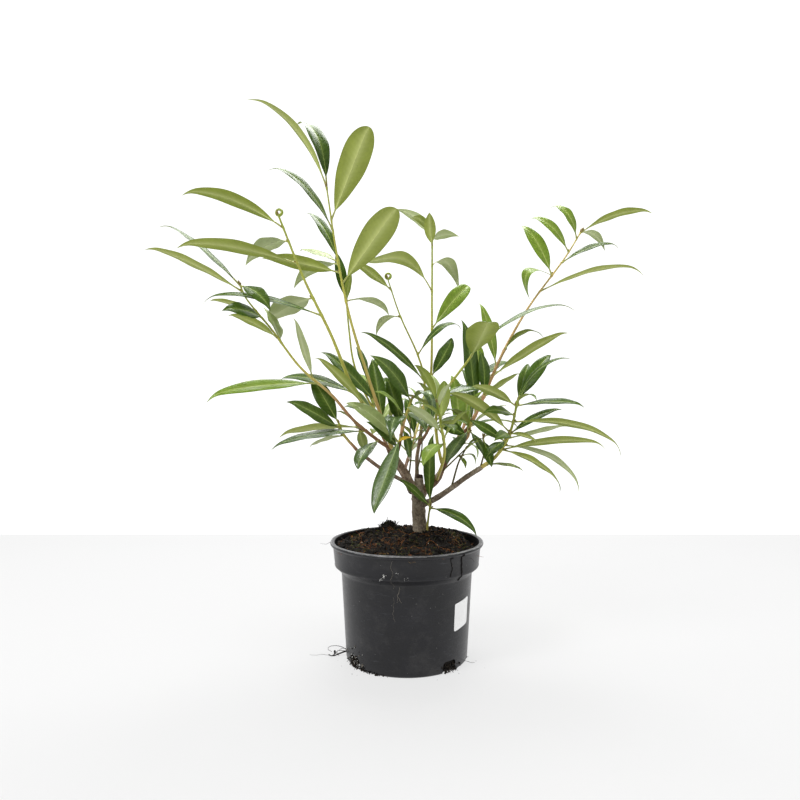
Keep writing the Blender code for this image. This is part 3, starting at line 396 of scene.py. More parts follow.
def touches(spec, foot, axis, shoot, stems, placed):
    """Whether a leaf would touch a limb, a stem or a leaf already there. Beside
    its own stem and that stem's leaves only its blade counts."""
    whole = leaf_solid(spec, foot, axis, CLEAR)
    low, high = whole[0].min(axis=0), whole[0].max(axis=0)
    whole_tree = search_tree(whole)
    blade_tree = search_tree(leaf_solid(spec, foot, axis, CLEAR, first=1))
    for name, curve, radii in stems:
        tree = blade_tree if name == shoot else whole_tree
        near = np.all((curve > low - LIMB_REACH) & (curve < high + LIMB_REACH), axis=1)
        if name == shoot:
            near &= np.linalg.norm(curve - foot, axis=1) > OWN_STEM * np.linalg.norm(spec["reach"])
        if any(tree.find_nearest(tuple(point), radius + CLEAR)[0]
               for point, radius in zip(curve[near], radii[near])):
            return True
    return any((blade_tree if name == shoot else whole_tree).overlap(other_tree)
               for name, other_low, other_high, other_tree in placed
               if np.all(low < other_high) and np.all(high > other_low))


def curved(plans):
    """Each limb's or stem's name, its curve and the radii along it."""
    for name, plan in plans.items():
        curve = smooth_path(plan["path"])
        yield name, curve, radii_at(plan["radii"], np.linspace(0, 1, len(curve)))


def settled(name, curve, wanted, last, stems, placed):
    """The wanted leaves of one stem, in order, none past a last share of it. A leaf
    that would touch a limb or another leaf is turned a little, and left out where
    nothing helps."""
    for spec in wanted:
        foot, axis = along_path(curve, min(spec["along"], last))
        reach = np.array(spec["reach"], float)
        for turn_y, turn_z in TURNS:
            moved = reach + np.linalg.norm(reach) * np.array((0, turn_y, turn_z))
            trial = dict(spec, reach=tuple(moved))
            if not touches(trial, foot, axis, name, stems, placed):
                solid = leaf_solid(trial, foot, axis)
                placed.append((name, solid[0].min(axis=0), solid[0].max(axis=0), search_tree(solid)))
                yield trial, foot, axis
                break


def grow():
    """The leaves of every shoot, and after them those of the fine twigs, by name."""
    placed, grown = [], {}
    shoots, twigs = list(curved(SHOOTS)), list(curved(FINE_TWIGS))
    stems = [*curved(LIMBS), *shoots]
    for number, (name, curve, _) in enumerate(shoots):
        length = np.linalg.norm(np.diff(curve, axis=0), axis=1).sum()
        wanted = [leaf(*row) for row in SHOOTS[name].get("leaves", ())]
        if "spiral" in SHOOTS[name]:
            wanted += spiral_leaves(curve, 40 * number, *SHOOTS[name]["spiral"])
        grown[name] = list(settled(name, curve, wanted, 1 - TIP_ROOM / length, stems, placed))
    for name, curve, _ in twigs:
        wanted = [leaf(*row) for row in FINE_TWIGS[name]["leaves"]]
        grown[name] = list(settled(name, curve, wanted, TWIG_LAST, stems + twigs, placed))
    return grown


# ---- Materials ----

def linear(red, green, blue):
    """A colour as seen on a screen, from 0 to 255, made linear."""
    seen = np.array((red, green, blue)) / 255
    return tuple(np.where(seen <= 0.04045, seen / 12.92, ((seen + 0.055) / 1.055) ** 2.4))


class Nodes:
    """A material's node tree, with short ways to add to it. A source is another
    node's output."""

    def __init__(self, name, colour, roughness, **inputs):
        self.material = bpy.data.materials.new(name)
        self.material.use_nodes = True
        self.tree = self.material.node_tree
        self.shader = self.tree.nodes["Principled BSDF"]
        self.put(self.shader, Base_Color=colour, Roughness=roughness, **inputs)
        self.place = self.add("ShaderNodeTexCoord").outputs["Object"]

    def add(self, kind, **settings):
        node = self.tree.nodes.new(kind)
        for name, value in settings.items():
            setattr(node, name, value)
        return node

    def put(self, node, **inputs):
        """Sets a node's inputs, each to a value or to a source."""
        for name, value in inputs.items():
            name = name.replace("_", " ")
            socket = next(item for item in node.inputs if item.name == name and item.enabled)
            if isinstance(value, bpy.types.NodeSocket):
                self.tree.links.new(value, socket)
            else:
                socket.default_value = (*value, 1) if socket.type == "RGBA" else value

    def stretched(self, scale):
        """The place, scaled differently along each axis."""
        mapping = self.add("ShaderNodeMapping")
        self.put(mapping, Scale=scale, Vector=self.place)
        return mapping.outputs["Vector"]

    def noise(self, scale, detail=4.0, rough=0.55, stretch=(1, 1, 1), distort=0.0):
        node = self.add("ShaderNodeTexNoise")
        self.put(node, Scale=scale, Detail=detail, Roughness=rough, Distortion=distort,
                 Vector=self.stretched(stretch))
        return node.outputs["Fac"]

    def cells(self, scale, stretch=(1, 1, 1)):
        node = self.add("ShaderNodeTexVoronoi")
        self.put(node, Scale=scale, Vector=self.stretched(stretch))
        return node.outputs["Distance"]

    def attribute(self, name):
        return self.add("ShaderNodeAttribute", attribute_name=name).outputs["Fac"]

    def ramp(self, source, *stops):
        """The source's value turned by stops of (position, value or colour)."""
        node = self.add("ShaderNodeValToRGB")
        elements = node.color_ramp.elements
        while len(elements) < len(stops):
            elements.new(0.5)
        for element, (position, value) in zip(elements, stops):
            colour = value if isinstance(value, tuple) else (value,) * 3
            element.position = position
            element.color = (*colour, 1)
        self.put(node, Fac=source)
        return node.outputs["Color"]

    def mix(self, share, first, second):
        """Two colours or sources mixed by a source or a number."""
        node = self.add("ShaderNodeMix", data_type="RGBA")
        self.put(node, Factor=share, A=first, B=second)
        return next(item for item in node.outputs if item.enabled)

    def bump(self, *heights):
        """Bumps from (source, distance in metres) pairs, one on the other."""
        below = {}
        for source, distance in heights:
            node = self.add("ShaderNodeBump")
            self.put(node, Distance=distance, Height=source, **below)
            below = {"Normal": node.outputs["Normal"]}
        self.put(self.shader, **below)


def shades(base, spread, lift=0.0):
    """A darker and a lighter shade of a colour."""
    return (tuple((1 - spread) * part for part in base),
            tuple(min(1, (1 + spread) * part + lift) for part in base))


# Each tone's colours: upper side, its midrib, underside and its midrib. The
# bright and pale tones are lighter for light shining through the leaf from behind:
# painted transmitted light.
TONES = {
    "deep": ((58, 85, 17), (140, 160, 82), (124, 138, 54), (160, 172, 92)),
    "bright": ((108, 136, 36), (172, 188, 104), (138, 153, 66), (176, 190, 110)),
    "pale": ((144, 160, 98), (184, 194, 140), (170, 182, 128), (198, 206, 160)),
    "under": ((74, 102, 24), (150, 170, 94), (141, 154, 60), (190, 198, 124)),
    "sheen": ((55, 81, 28), (150, 170, 110), (124, 140, 68), (160, 174, 106)),
    "gold": ((236, 196, 40), (240, 208, 80), (230, 190, 44), (236, 202, 80)),
}
SIDES = ("upper", "rib", "lower", "lower_rib")


def leaf_material(tone, side):
    """One side of a leaf: glossy over, dull under, with pale veins, a faint
    mottle and a few brown specks. A sheen leaf's upper side also gets pale specks
    of painted glint."""
    part = SIDES.index(side)
    base = linear(*TONES[tone][part])
    upper = part < 2
    shiny = tone == "sheen" and upper
    gloss = 0.24 if shiny else 0.29
    nodes = Nodes(f"leaf_{tone}_{side}", base, gloss if upper else 0.58,
                  Specular_IOR_Level=0.36 if shiny else 0.18, Coat_Weight=0.1 if shiny else 0.0,
                  Coat_Roughness=0.14)
    mottle = nodes.noise(110, 5)
    darker, lighter = shades(base, 0.20 if upper else 0.12, 0.002)
    body = nodes.mix(nodes.ramp(mottle, (0.30, 0.0), (0.72, 1.0)), darker, lighter)
    if part in (0, 2):
        body = nodes.mix(nodes.attribute("pale"), body, linear(*TONES[tone][part + 1]))
    if tone in ("under", "deep"):
        body = nodes.mix(nodes.ramp(nodes.cells(105), (0.0, 0.8), (0.07, 0.0)), body, linear(84, 70, 30))
    # A sheen leaf's upper side gets pale specks: painted glints of light on its gloss.
    if shiny:
        painted_glints = nodes.ramp(nodes.noise(620, 4, 0.7), (0.55, 0.0), (0.70, 0.28))
        body = nodes.mix(painted_glints, body, linear(190, 200, 180))
    rough = gloss if upper else 0.52
    nodes.put(nodes.shader, Base_Color=body,
              Roughness=nodes.ramp(nodes.noise(420, 2), (0.3, rough), (0.8, rough + 0.14)))
    nodes.bump((nodes.noise(1500, 3), 0.00004), (nodes.noise(240, 3), 0.00016))
    return nodes.material


def stem_material():
    """Young bark: brown at the foot, then tan, then yellow-green, faintly
    streaked along and with small raised spots."""
    nodes = Nodes("bark_young", linear(140, 140, 60), 0.45, Specular_IOR_Level=0.45)
    streak = nodes.noise(160, 4, stretch=(1, 1, 0.3))
    ground = nodes.ramp(nodes.attribute("young"), (0.0, linear(88, 58, 38)), (0.3, linear(182, 138, 96)),
                        (0.5, linear(198, 174, 102)), (0.72, linear(186, 184, 78)),
                        (1.0, linear(146, 162, 62)))
    streaks = nodes.ramp(streak, (0.50, 0.0), (0.85, 0.4))
    nodes.put(nodes.shader, Base_Color=nodes.mix(streaks, ground, linear(158, 124, 66)))
    spots = nodes.cells(900)
    nodes.bump((nodes.ramp(spots, (0.0, 1.0), (0.28, 0.0)), 0.00012), (streak, 0.0002))
    return nodes.material


def bark_material():
    """Old bark: grey-brown with a warmer ground, pale flecks and fine cracks."""
    nodes = Nodes("bark_old", linear(104, 88, 72), 0.82, Specular_IOR_Level=0.3)
    patches = nodes.noise(85, 6, 0.6)
    fine = nodes.noise(620, 5, 0.65, stretch=(1, 1, 0.45))
    flecks = nodes.cells(520, stretch=(1, 1, 1.6))
    patchy = nodes.ramp(patches, (0.34, 0.0), (0.66, 1.0))
    grey = nodes.mix(patchy, linear(112, 98, 80), linear(182, 170, 150))
    worn = nodes.mix(nodes.ramp(fine, (0.36, 0.65), (0.58, 0.0)), grey, linear(58, 46, 36))
    red = nodes.mix(nodes.ramp(fine, (0.3, 0.0), (0.7, 1.0)), linear(84, 50, 32), linear(150, 104, 70))
    youth = nodes.ramp(nodes.attribute("young"), (0.05, 0.0), (0.85, 0.9))
    ground = nodes.mix(youth, worn, red)
    pale = nodes.ramp(flecks, (0.0, 0.75), (0.16, 0.0))
    nodes.put(nodes.shader, Base_Color=nodes.mix(pale, ground, linear(190, 178, 156)))
    nodes.bump((fine, 0.0007), (nodes.ramp(flecks, (0.0, 1.0), (0.2, 0.0)), 0.0003), (patches, 0.001))
    return nodes.material


def pot_material():
    """Charcoal nursery plastic: a soft sheen, long scuffs, dust and specks."""
    nodes = Nodes("pot_charcoal", linear(14, 15, 19), 0.30, Specular_IOR_Level=0.42)
    cloud = nodes.noise(22, 5, 0.6)
    scuff = nodes.noise(60, 8, 0.75, stretch=(1, 1, 7), distort=0.6)
    dust = nodes.noise(38, 9, 0.72)
    specks = nodes.cells(130)
    base = nodes.mix(nodes.ramp(cloud, (0.3, 0.0), (0.7, 1.0)), linear(10, 10, 14), linear(20, 20, 26))
    dusty = nodes.mix(nodes.ramp(dust, (0.50, 0.0), (0.78, 0.30)), base, linear(84, 82, 80))
    scratched = nodes.mix(nodes.ramp(scuff, (0.58, 0.0), (0.72, 0.32)), dusty, linear(100, 102, 108))
    body = nodes.mix(nodes.ramp(specks, (0.0, 0.8), (0.06, 0.0)), scratched, linear(180, 178, 172))
    nodes.put(nodes.shader, Base_Color=body, Roughness=nodes.ramp(scuff, (0.25, 0.22), (0.75, 0.42)))
    nodes.bump((nodes.noise(700, 4), 0.00006), (scuff, 0.00012), (cloud, 0.0004))
    return nodes.material


def lip_wear_and_highlight_material():
    """The pot's lip edge: rubbed paler by handling, with a painted highlight along it."""
    nodes = Nodes("pot_lip_wear_and_highlight", linear(62, 64, 68), 0.38, Specular_IOR_Level=0.6)
    rub_and_glint = nodes.noise(130, 7, 0.7, stretch=(1, 1, 3))
    # The pale colour is partly wear and partly a painted highlight.
    body = nodes.mix(nodes.ramp(rub_and_glint, (0.38, 0.0), (0.66, 1.0)), linear(30, 31, 34), linear(150, 150, 152))
    nodes.put(nodes.shader, Base_Color=body, Roughness=nodes.ramp(rub_and_glint, (0.3, 0.28), (0.7, 0.5)))
    nodes.bump((rub_and_glint, 0.0002), (nodes.noise(800, 3), 0.00005))
    return nodes.material


def soil_material(name, dark, light):
    """Two browns: a fine grain, and dark patches over it."""
    dark, light = linear(*dark), linear(*light)
    nodes = Nodes(name, dark, 0.95, Specular_IOR_Level=0.35)
    grain = nodes.noise(420, 8, 0.7)
    patch = nodes.noise(60, 5, 0.6)
    mixed = nodes.mix(nodes.ramp(grain, (0.42, 0.0), (0.75, 1.0)), dark, light)
    body = nodes.mix(nodes.ramp(patch, (0.45, 0.0), (0.75, 0.55)), mixed, dark)
    nodes.put(nodes.shader, Base_Color=body)
    nodes.bump((grain, 0.0012), (patch, 0.002))
    return nodes.material


def plain_material(name, colour, rough, grain_scale, grain_height, spread=0.12):
    """One colour with a fine grain in its tone and its surface."""
    base = linear(*colour)
    nodes = Nodes(name, base, rough, Specular_IOR_Level=0.4)
    grain = nodes.noise(grain_scale, 5)
    body = nodes.mix(nodes.ramp(grain, (0.3, 0.0), (0.7, 1.0)), *shades(base, spread))
    nodes.put(nodes.shader, Base_Color=body)
    nodes.bump((grain, grain_height))
    return nodes.material


# ---- Meshes from numpy arrays ----

class Pieces:
    """Shapes gathered into one mesh: points in millimetres, faces, one material
    slot or one for each face and, where a material reads it, a value for each
    point."""

    def __init__(self):
        self.points, self.faces, self.slots, self.values = [], [], [], []
        self.count = 0

    def add(self, points, faces, slots, values=None):
        points = np.asarray(points, float).reshape(-1, 3)
        self.points.append(points)
        self.faces += [tuple(int(k) + self.count for k in face) for face in faces]
        self.slots += list(np.broadcast_to(slots, len(faces)))
        values = np.zeros(len(points)) if values is None else values
        self.values.append(np.asarray(values, float).ravel())
        self.count += len(points)

    def make(self, name, materials, sharp, value_name=None):
        mesh = bpy.data.meshes.new(name)
        mesh.from_pydata((np.concatenate(self.points) * MM).tolist(), [], self.faces)
        for material in materials:
            mesh.materials.append(material)
        mesh.polygons.foreach_set("material_index", np.array(self.slots, np.int32))
        if value_name:
            values = mesh.attributes.new(value_name, "FLOAT", "POINT")
            values.data.foreach_set("value", np.concatenate(self.values))
        mesh.shade_smooth()
        mesh.set_sharp_from_angle(angle=np.radians(sharp))
        mesh.update()
        piece = bpy.data.objects.new(name, mesh)
        bpy.context.scene.collection.objects.link(piece)
        return piece


def stem_frames(curve):
    """Two steady directions across a curve at each of its points."""
    along = np.gradient(curve, axis=0)
    along /= np.linalg.norm(along, axis=1)[:, None]
    across = np.zeros_like(curve)
    start = np.cross(along[0], (0.31, 0.9, 0.17))
    for k, direction in enumerate(along):
        start = start - direction * np.dot(start, direction)
        start = start / np.linalg.norm(start)
        across[k] = start
    return across, np.cross(along, across)


def tube_points(curve, radii, around, relief):
    """A round tube's points, ring by ring. relief gives each point's height."""
    across, other = stem_frames(curve)
    angles = np.arange(around) * 2 * np.pi / around
    heights = np.tile(np.asarray(radii, float)[:, None], (1, around))
    if relief is not None:
        heights = heights + relief
    outward = (np.cos(angles)[None, :, None] * across[:, None, :]
               + np.sin(angles)[None, :, None] * other[:, None, :])
    return curve[:, None, :] + heights[..., None] * outward


def add_tube(pieces, curve, radii, around, slots, values=None, relief=None):
    """A closed tube. slots is one material slot, or one for each ring."""
    points = tube_points(curve, radii, around, relief)
    slots = np.broadcast_to(slots, len(curve))
    face_slots = [*np.repeat(slots[:-1], around), slots[0], slots[-1]]
    if values is not None:
        values = np.repeat(np.asarray(values, float), around)
    pieces.add(points, closed_rings(len(curve), around), face_slots, values)


# ---- Leaves ----

RIB_HALF = 0.55           # half the midrib's width, in millimetres
BLADE = 0.32              # half the blade's thickness
GROOVE = 0.14             # how deep the midrib lies in the upper side
RIDGE = (0.15, 0.75)      # how far it stands under the blade: at its tip, and more at its foot
STALK = 1.05              # the stalk's radius
STALK_ROWS = (0.0, 0.25, 0.5, 0.75, 0.95)
STALK_MEETS = 0.10        # the share of the blade over which the stalk passes into it
VEIN_SLANT = 0.10         # how far a side vein runs forward, in blade lengths
VEIN_DEPTH = 0.11         # how deep the blade dips at a side vein
EDGE_TO_RIB = (1.0, 0.88, 0.62, 0.34)
EDGE_FROM = 0.8           # where across the half width the edge turns down again
EDGE_TURN = 2.5           # and how much, for the fold
WAVE_COUNT = 2.6          # waves along a blade's edge
WAVE_HEIGHTS = (0.02, 0.07)   # their least and greatest height, for the half width
TWIST = 9                 # how far a blade may twist, in degrees
TIP_HOOK = 0.035          # how far a tip hooks on past its arch, in leaf lengths
HOOK_FROM = 0.88          # where on the leaf's line the hook begins
VARIETY = (0.12, 0.36)    # how much paler one leaf may be than the next, over and under
PALE_RIB = (0.45, 0.7)    # how pale its midrib is, over and under
PALE_VEIN = (0.16, 0.10)  # and its side veins

# Round a leaf's section: over it from its left edge to its right one, then back
# under it. A column stands at a share of the half width, or at the midrib's side.
SHARES = np.array([-k for k in EDGE_TO_RIB] + [0, 0, 0] + list(EDGE_TO_RIB[::-1])
                  + list(EDGE_TO_RIB[1:]) + [0, 0, 0] + [-k for k in EDGE_TO_RIB[:0:-1]])
RIB_SIDES = np.array([0] * 4 + [-1, 0, 1] + [0] * 7 + [1, 0, -1] + [0] * 3)
OVER = np.arange(20) < 11
RIB_FACES = {4: 1, 5: 1, 14: 3, 15: 3}


def hooked_line(spec, share):
    """The leaf's line, with its tip hooked a little further down."""
    far, high = leaf_line(spec, share)
    past = np.clip((share - HOOK_FROM) / (1 - HOOK_FROM), 0, 1) ** 2
    return far, high - TIP_HOOK * np.linalg.norm(spec["reach"]) * past * np.sign(spec["arch"] + 0.001)


def section(spec, rows, on_blade, veins, chance):
    """A leaf's points before they are placed: how far along its line, how far
    to its side and how high, and how pale each is."""
    on_blade = on_blade[:, None]
    blade_row = np.where(on_blade, rows[:, None], 0)
    slant = VEIN_SLANT * np.abs(SHARES) * np.sin(np.pi * blade_row) ** 0.8
    blade = np.minimum(blade_row + slant, 0.9995)
    at = np.where(on_blade, PETIOLE + (1 - PETIOLE) * blade, rows[:, None])
    half = half_width(spec, at)
    wide = np.maximum(half, np.where(blade < 0.5, STALK * (1 - 0.75 * blade), 0.05))
    rib = np.minimum(RIB_HALF * (1.25 - blade), 0.3 * wide)
    side = SHARES * wide + RIB_SIDES * rib
    out = np.abs(side) / wide
    near_rib = np.maximum(0, 1 - np.abs(side) / (1.6 * rib))
    thick = BLADE * (1 - 0.72 * out ** 6) * np.minimum(1, 25 * (1 - blade) + 0.25)
    ridge = RIDGE[0] + RIDGE[1] * (1 - blade)
    sheet = np.where(OVER, thick - GROOVE * near_rib, -thick - ridge * near_rib)
    vein = np.abs(np.sin(np.pi * veins * blade_row)) * np.ones(len(SHARES))
    quilt = VEIN_DEPTH * vein * 4 * out * (1 - out) * np.minimum(1, half / 6)
    fold = FOLD * chance.uniform(0.6, 1.25) * half
    lift = fold * (out ** 1.15 - EDGE_TURN * np.maximum(0, out - EDGE_FROM))
    start = chance.uniform(0, 6.28) + np.where(side > 0, 1.3, 0)
    waves = np.sin(2 * WAVE_COUNT * np.pi * blade + start)
    lift = lift + chance.uniform(*WAVE_HEIGHTS) * half * waves * out ** 2
    swell = STALK * np.where(on_blade, 0.9, 1.25 - 0.35 * at / PETIOLE)
    stalk = swell * np.sqrt(np.maximum(0, 1 - out ** 2)) * np.where(OVER, 1, -1)
    solid = np.minimum(blade / STALK_MEETS, 1) ** 0.8
    height = (1 - solid) * stalk + solid * (sheet + quilt + lift)
    side = np.where(on_blade, side, side / wide * swell)
    turn = np.radians(chance.uniform(-TWIST, TWIST)) * np.where(on_blade, blade - 0.3, 0)
    far, high = hooked_line(spec, at)
    pale_rib = np.maximum(0, 1 - out / np.where(OVER, 0.09, 0.45)) * np.where(OVER, *PALE_RIB)
    pale_vein = np.where(OVER, *PALE_VEIN) * (1 - vein) ** 3 * (1 - out)
    own = chance.uniform() * np.where(OVER, *VARIETY)
    pale = np.where(on_blade, pale_rib + pale_vein + own, 0)
    return (far, side * np.cos(turn) - height * np.sin(turn),
            high + side * np.sin(turn) + height * np.cos(turn), np.minimum(pale, 1))


def add_leaf(pieces, grown_leaf, chance, tone_slot, stalk_slot):
    """A leaf with its stalk: a closed blade with a fold, side veins, a groove
    over its midrib and a ridge under it."""
    spec, foot, axis = grown_leaf
    line, side, face = leaf_frame(spec["reach"], axis, spec["roll"])
    veins = int(np.clip(7 + np.linalg.norm(spec["reach"]) / 11, 8, 18))
    blade = np.concatenate([[0.004, 0.012], np.linspace(0, 1, 2 * veins + 1)[1:-1], [0.99, 0.998]])
    rows = np.concatenate([np.array(STALK_ROWS) * PETIOLE, blade])
    on_blade = np.arange(len(rows)) >= len(STALK_ROWS)
    far, out, high, pale = section(spec, rows, on_blade, veins, chance)
    points = foot + far[..., None] * line + out[..., None] * side + high[..., None] * face
    tip_far, tip_high = hooked_line(spec, 1.0)
    points = np.vstack([points.reshape(-1, 3), foot + tip_far * line + tip_high * face])
    around, count = len(SHARES), len(rows)
    faces = ring_faces(count, around)
    slots = []
    for number in range(len(faces)):
        row, column = divmod(number, around)
        zone = RIB_FACES.get(column, 0 if column < 10 else 2)
        slots.append(tone_slot + zone if row >= len(STALK_ROWS) else stalk_slot)
    last = (count - 1) * around
    faces += [(last + k, last + (k + 1) % around, count * around) for k in range(around)]
    slots += [tone_slot + (0 if k < 10 else 2) for k in range(around)]
    faces.append(tuple(range(around))[::-1])
    slots.append(stalk_slot)
    pieces.add(points, faces, slots, np.append(pale.ravel(), 0))


# ---- The shoots: their stems, buds and leaves ----

# How young a stem's bark is, evenly spaced from its foot to its tip: 0 brown, 1 green.
AGES = {"left_leader": (0.22, 0.52, 0.68, 0.76, 0.84), "right_leader": (0.26, 0.34, 0.42, 0.50, 0.62),
        "left_spray": (0.5, 0.75, 0.95), "far_left_spray": (0.06, 0.2, 0.6, 0.8, 0.9),
        "heart_front": (0.0, 0.1, 0.4, 0.9), "short_right_shoot": (0.66, 0.9),
        "heart_middle": (0.02, 0.15, 0.5), "right_heart": (0.05, 0.3, 0.7),
        "low_left_spray": (0.1, 0.6, 0.95), "back_left_spray": (0.0, 0.2, 0.6, 0.9),
        "back_middle_spray": (0.0, 0.2, 0.6, 0.9), "back_right_spray": (0.0, 0.2, 0.6, 0.9)}
USUAL_AGE = (0.55, 1.0)
# How slim a limb or a stem is beside its solid, where that is stout
SLIM = {"left_leader": 0.66, "right_leader": 0.80, "far_left_spray": 0.72, "bough_left": 0.70,
        "bough_right": 0.84, "bough_back_left": 0.9, "bough_back_right": 0.9}
STEM_AROUND = 12
NODE_SWELL = 0.35         # how far a stem swells at a leaf's foot, in millimetres
NODE_LENGTH = 2.2
CURLED = ("left_spray", "slender_shoot")   # the shoots whose newest leaf is still rolled up
TIP_BUDS = {"right_leader": 2.4, "left_leader": 1.5}   # the radius of a shoot's tip bud
USUAL_TIP_BUD = 1.3
TIP_BUD_LENGTH = 5.2      # of a tip bud one millimetre in radius


def spread_curve(points, spacing):
    """A smooth curve through the points, stepped evenly, with each step's share
    of the length and of the plan's points."""
    curve = smooth_path(points)
    at = np.concatenate([[0], np.cumsum(np.linalg.norm(np.diff(curve, axis=0), axis=1))])
    wanted = np.linspace(0, at[-1], max(int(at[-1] / spacing), 3) + 1)
    even = np.stack([np.interp(wanted, at, curve[:, k]) for k in range(3)], axis=1)
    return even, wanted / at[-1], np.interp(wanted, at, np.linspace(0, 1, len(curve)))


def add_bud(pieces, place, direction, length, radius, slot, value):
    """A pointed bud of overlapping scales."""
    shares = np.linspace(0, 1, 7)
    curve = place + shares[:, None] * length * unit(direction)
    radii = radius * np.sin(np.pi * (0.18 + 0.82 * shares)) ** 0.7 + 0.05
    radii *= 1 + 0.10 * np.cos(np.arange(7) * np.pi)
    add_tube(pieces, curve, radii, 8, slot, np.full(7, value))


def add_curl(pieces, place, size, slot, value):
    """A young leaf still rolled up at a shoot's tip."""
    turn = np.linspace(0, 1.35 * 2 * np.pi, 22)
    size = size * (1 - 0.5 * turn / turn[-1])
    curve = place + np.stack([size * np.sin(turn), 0.12 * size * turn, size * (1 - np.cos(turn))], axis=1)
    add_tube(pieces, curve, np.linspace(1.9, 0.6, 22), 8, slot, np.full(22, value))


def add_stem(pieces, name, plan, leaves, slot=0):
    """A shoot's stem, swollen at each leaf, with a bud in every leaf's corner."""
    chance = np.random.default_rng(len(name) * 31 + len(leaves))
    curve, shares, plan_shares = spread_curve(plan["path"], 2.0)
    radii = SLIM.get(name, 1.0) * radii_at(plan["radii"], plan_shares)
    for spec, foot, axis in leaves:
        away = np.linalg.norm(curve - foot, axis=1)
        radii = radii + NODE_SWELL * np.exp(-(away / NODE_LENGTH) ** 2)
    radii[-1] *= 0.6
    ages = AGES.get(name, USUAL_AGE)
    young = radii_at(ages, shares)
    relief = chance.normal(0, 0.035, (len(curve), STEM_AROUND)) * radii[:, None]
    add_tube(pieces, curve, radii, STEM_AROUND, slot, young, relief)
    for spec, foot, axis in leaves:
        outward = unit(spec["reach"])
        radius = float(np.interp(spec["along"], shares, radii))
        value = float(np.interp(spec["along"], shares, young))
        start = foot + axis * 1.2 + unit(outward - axis * np.dot(outward, axis)) * 0.7 * radius
        add_bud(pieces, start, axis + 0.7 * outward, chance.uniform(3, 4.6), chance.uniform(0.8, 1.1), 1,
                value)
    end = unit(curve[-1] - curve[-2])
    if name in CURLED:
        add_curl(pieces, curve[-1] - 1.5 * end, 4.4, 0, 1.0)
    radius = TIP_BUDS.get(name, min(USUAL_TIP_BUD, 1.6 * plan["radii"][-1]))
    add_bud(pieces, curve[-1] - 1.0 * end, end, TIP_BUD_LENGTH * radius ** 0.5, radius, 1, 0.9)


def add_leaves(pieces, name, leaves):
    """A shoot's leaves, each in its own tone."""
    chance = np.random.default_rng(len(name) * 17 + 5)
    tones = list(TONES)
    for grown_leaf in leaves:
        tone = tones.index(grown_leaf[0]["tone"])
        add_leaf(pieces, grown_leaf, chance, 4 * tone, 4 * len(tones))




def make_shoots():
    """Every shoot, with its fine twigs, as one mesh of stems and one of leaves."""
    tissue = [leaf_material(tone, side) for tone in TONES for side in SIDES]
    tissue.append(plain_material("leaf_stalk", (164, 168, 92), 0.45, 300, 0.0001))
    stem_bark = [stem_material(), plain_material("bud_scales", (132, 116, 62), 0.5, 700, 0.0002),
                 plain_material("bark_twig", (98, 92, 52), 0.55, 500, 0.0003, 0.3)]
    grown = grow()
    for name, plan in SHOOTS.items():
        stems, blades = Pieces(), Pieces()
        add_stem(stems, name, plan, grown[name])
        add_leaves(blades, name, grown[name])
        for twig, twig_plan in FINE_TWIGS.items():
            if twig_plan["host"] == name:
                add_stem(stems, twig, twig_plan, grown[twig], 2)
                add_leaves(blades, twig, grown[twig])
        wood = stems.make(name + "_stem", stem_bark, 50, "young")
        for piece in (wood, blades.make(name + "_leaves", tissue, 60, "pale")):
            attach(piece, "root")
            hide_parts(name)


# ---- The trunk and the boughs ----

LIMB_AROUND = 36
LIMB_STEP = 1.4           # millimetres between a limb's rings
BARK_RELIEF = 0.075       # the bark's relief, as a share of the limb's radius
COLLAR_SWELL = 0.40       # how far a bough swells where it leaves its parent
COLLAR_LENGTH = 7.0
SCAR_SPACING = 17         # millimetres from one old leaf scar to the next
SCAR_SWELL = 0.07         # how far the limb swells there, as a share of its radius
STUB_RINGS = 4            # the trunk's rings whose cut wood shows
CLOSED_END = 0.82         # how far its last ring draws in
# How young a limb's bark looks, where it isn't as usual
YOUTH = {"trunk": 0.0, "bough_left": 0.40, "bough_right": 0.80, "bough_low_right": 0.12}
USUAL_YOUTH = 0.45


def bark_relief(curve, radii, scale):
    """Long cracks and knobs: noise that is stretched along the limb."""
    rows, around = len(curve), LIMB_AROUND
    heights = np.zeros((rows, around))
    for row in range(rows):
        for k in range(around):
            angle = 2 * np.pi * k / around
            place = Vector((scale * np.cos(angle), scale * np.sin(angle), 0.055 * LIMB_STEP * row))
            coarse = noise.fractal(place * 1.3, 0.9, 2.1, 4)
            fine = noise.fractal(place * 4.5 + Vector((7, 3, 5)), 0.8, 2.2, 3)
            heights[row, k] = coarse + 0.45 * fine
    return heights * BARK_RELIEF * np.asarray(radii)[:, None]


def make_limb(name, plan, number, materials):
    """A limb with the bark's relief, old leaf scars and a swollen foot."""
    chance = np.random.default_rng(300 + number)
    curve, shares, plan_shares = spread_curve(plan["path"], LIMB_STEP)
    radii = SLIM.get(name, 1.0) * radii_at(plan["radii"], plan_shares)
    length = LIMB_STEP * len(curve)
    away = shares * length
    if name != "trunk":
        radii = radii * (1 + COLLAR_SWELL * np.exp(-((away - plan["radii"][0]) / COLLAR_LENGTH) ** 2))
    for scar in np.arange(14, length - 4, SCAR_SPACING) + chance.uniform(-3, 3):
        radii = radii + SCAR_SWELL * plan["radii"][0] * np.exp(-((away - scar) / 1.6) ** 2)
    radii[-1] *= CLOSED_END
    relief = bark_relief(curve, radii, 1.0 + 0.1 * number)
    youth = YOUTH.get(name, USUAL_YOUTH) * np.clip(0.4 + shares, 0, 1)
    slots = np.zeros(len(curve), int)
    if name == "trunk":
        slots[-STUB_RINGS:] = 1
    pieces = Pieces()
    add_tube(pieces, curve, radii, LIMB_AROUND, slots, youth, relief)
    limb = pieces.make(name + "_bark", materials, 50, "young")
    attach(limb, "root")
    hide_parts(name)


def make_limbs():
    materials = [bark_material(), plain_material("stub_wood", (58, 42, 34), 0.9, 400, 0.0008, 0.35)]
    for number, (name, plan) in enumerate(LIMBS.items()):
        make_limb(name, plan, number, materials)


# ---- The pot ----

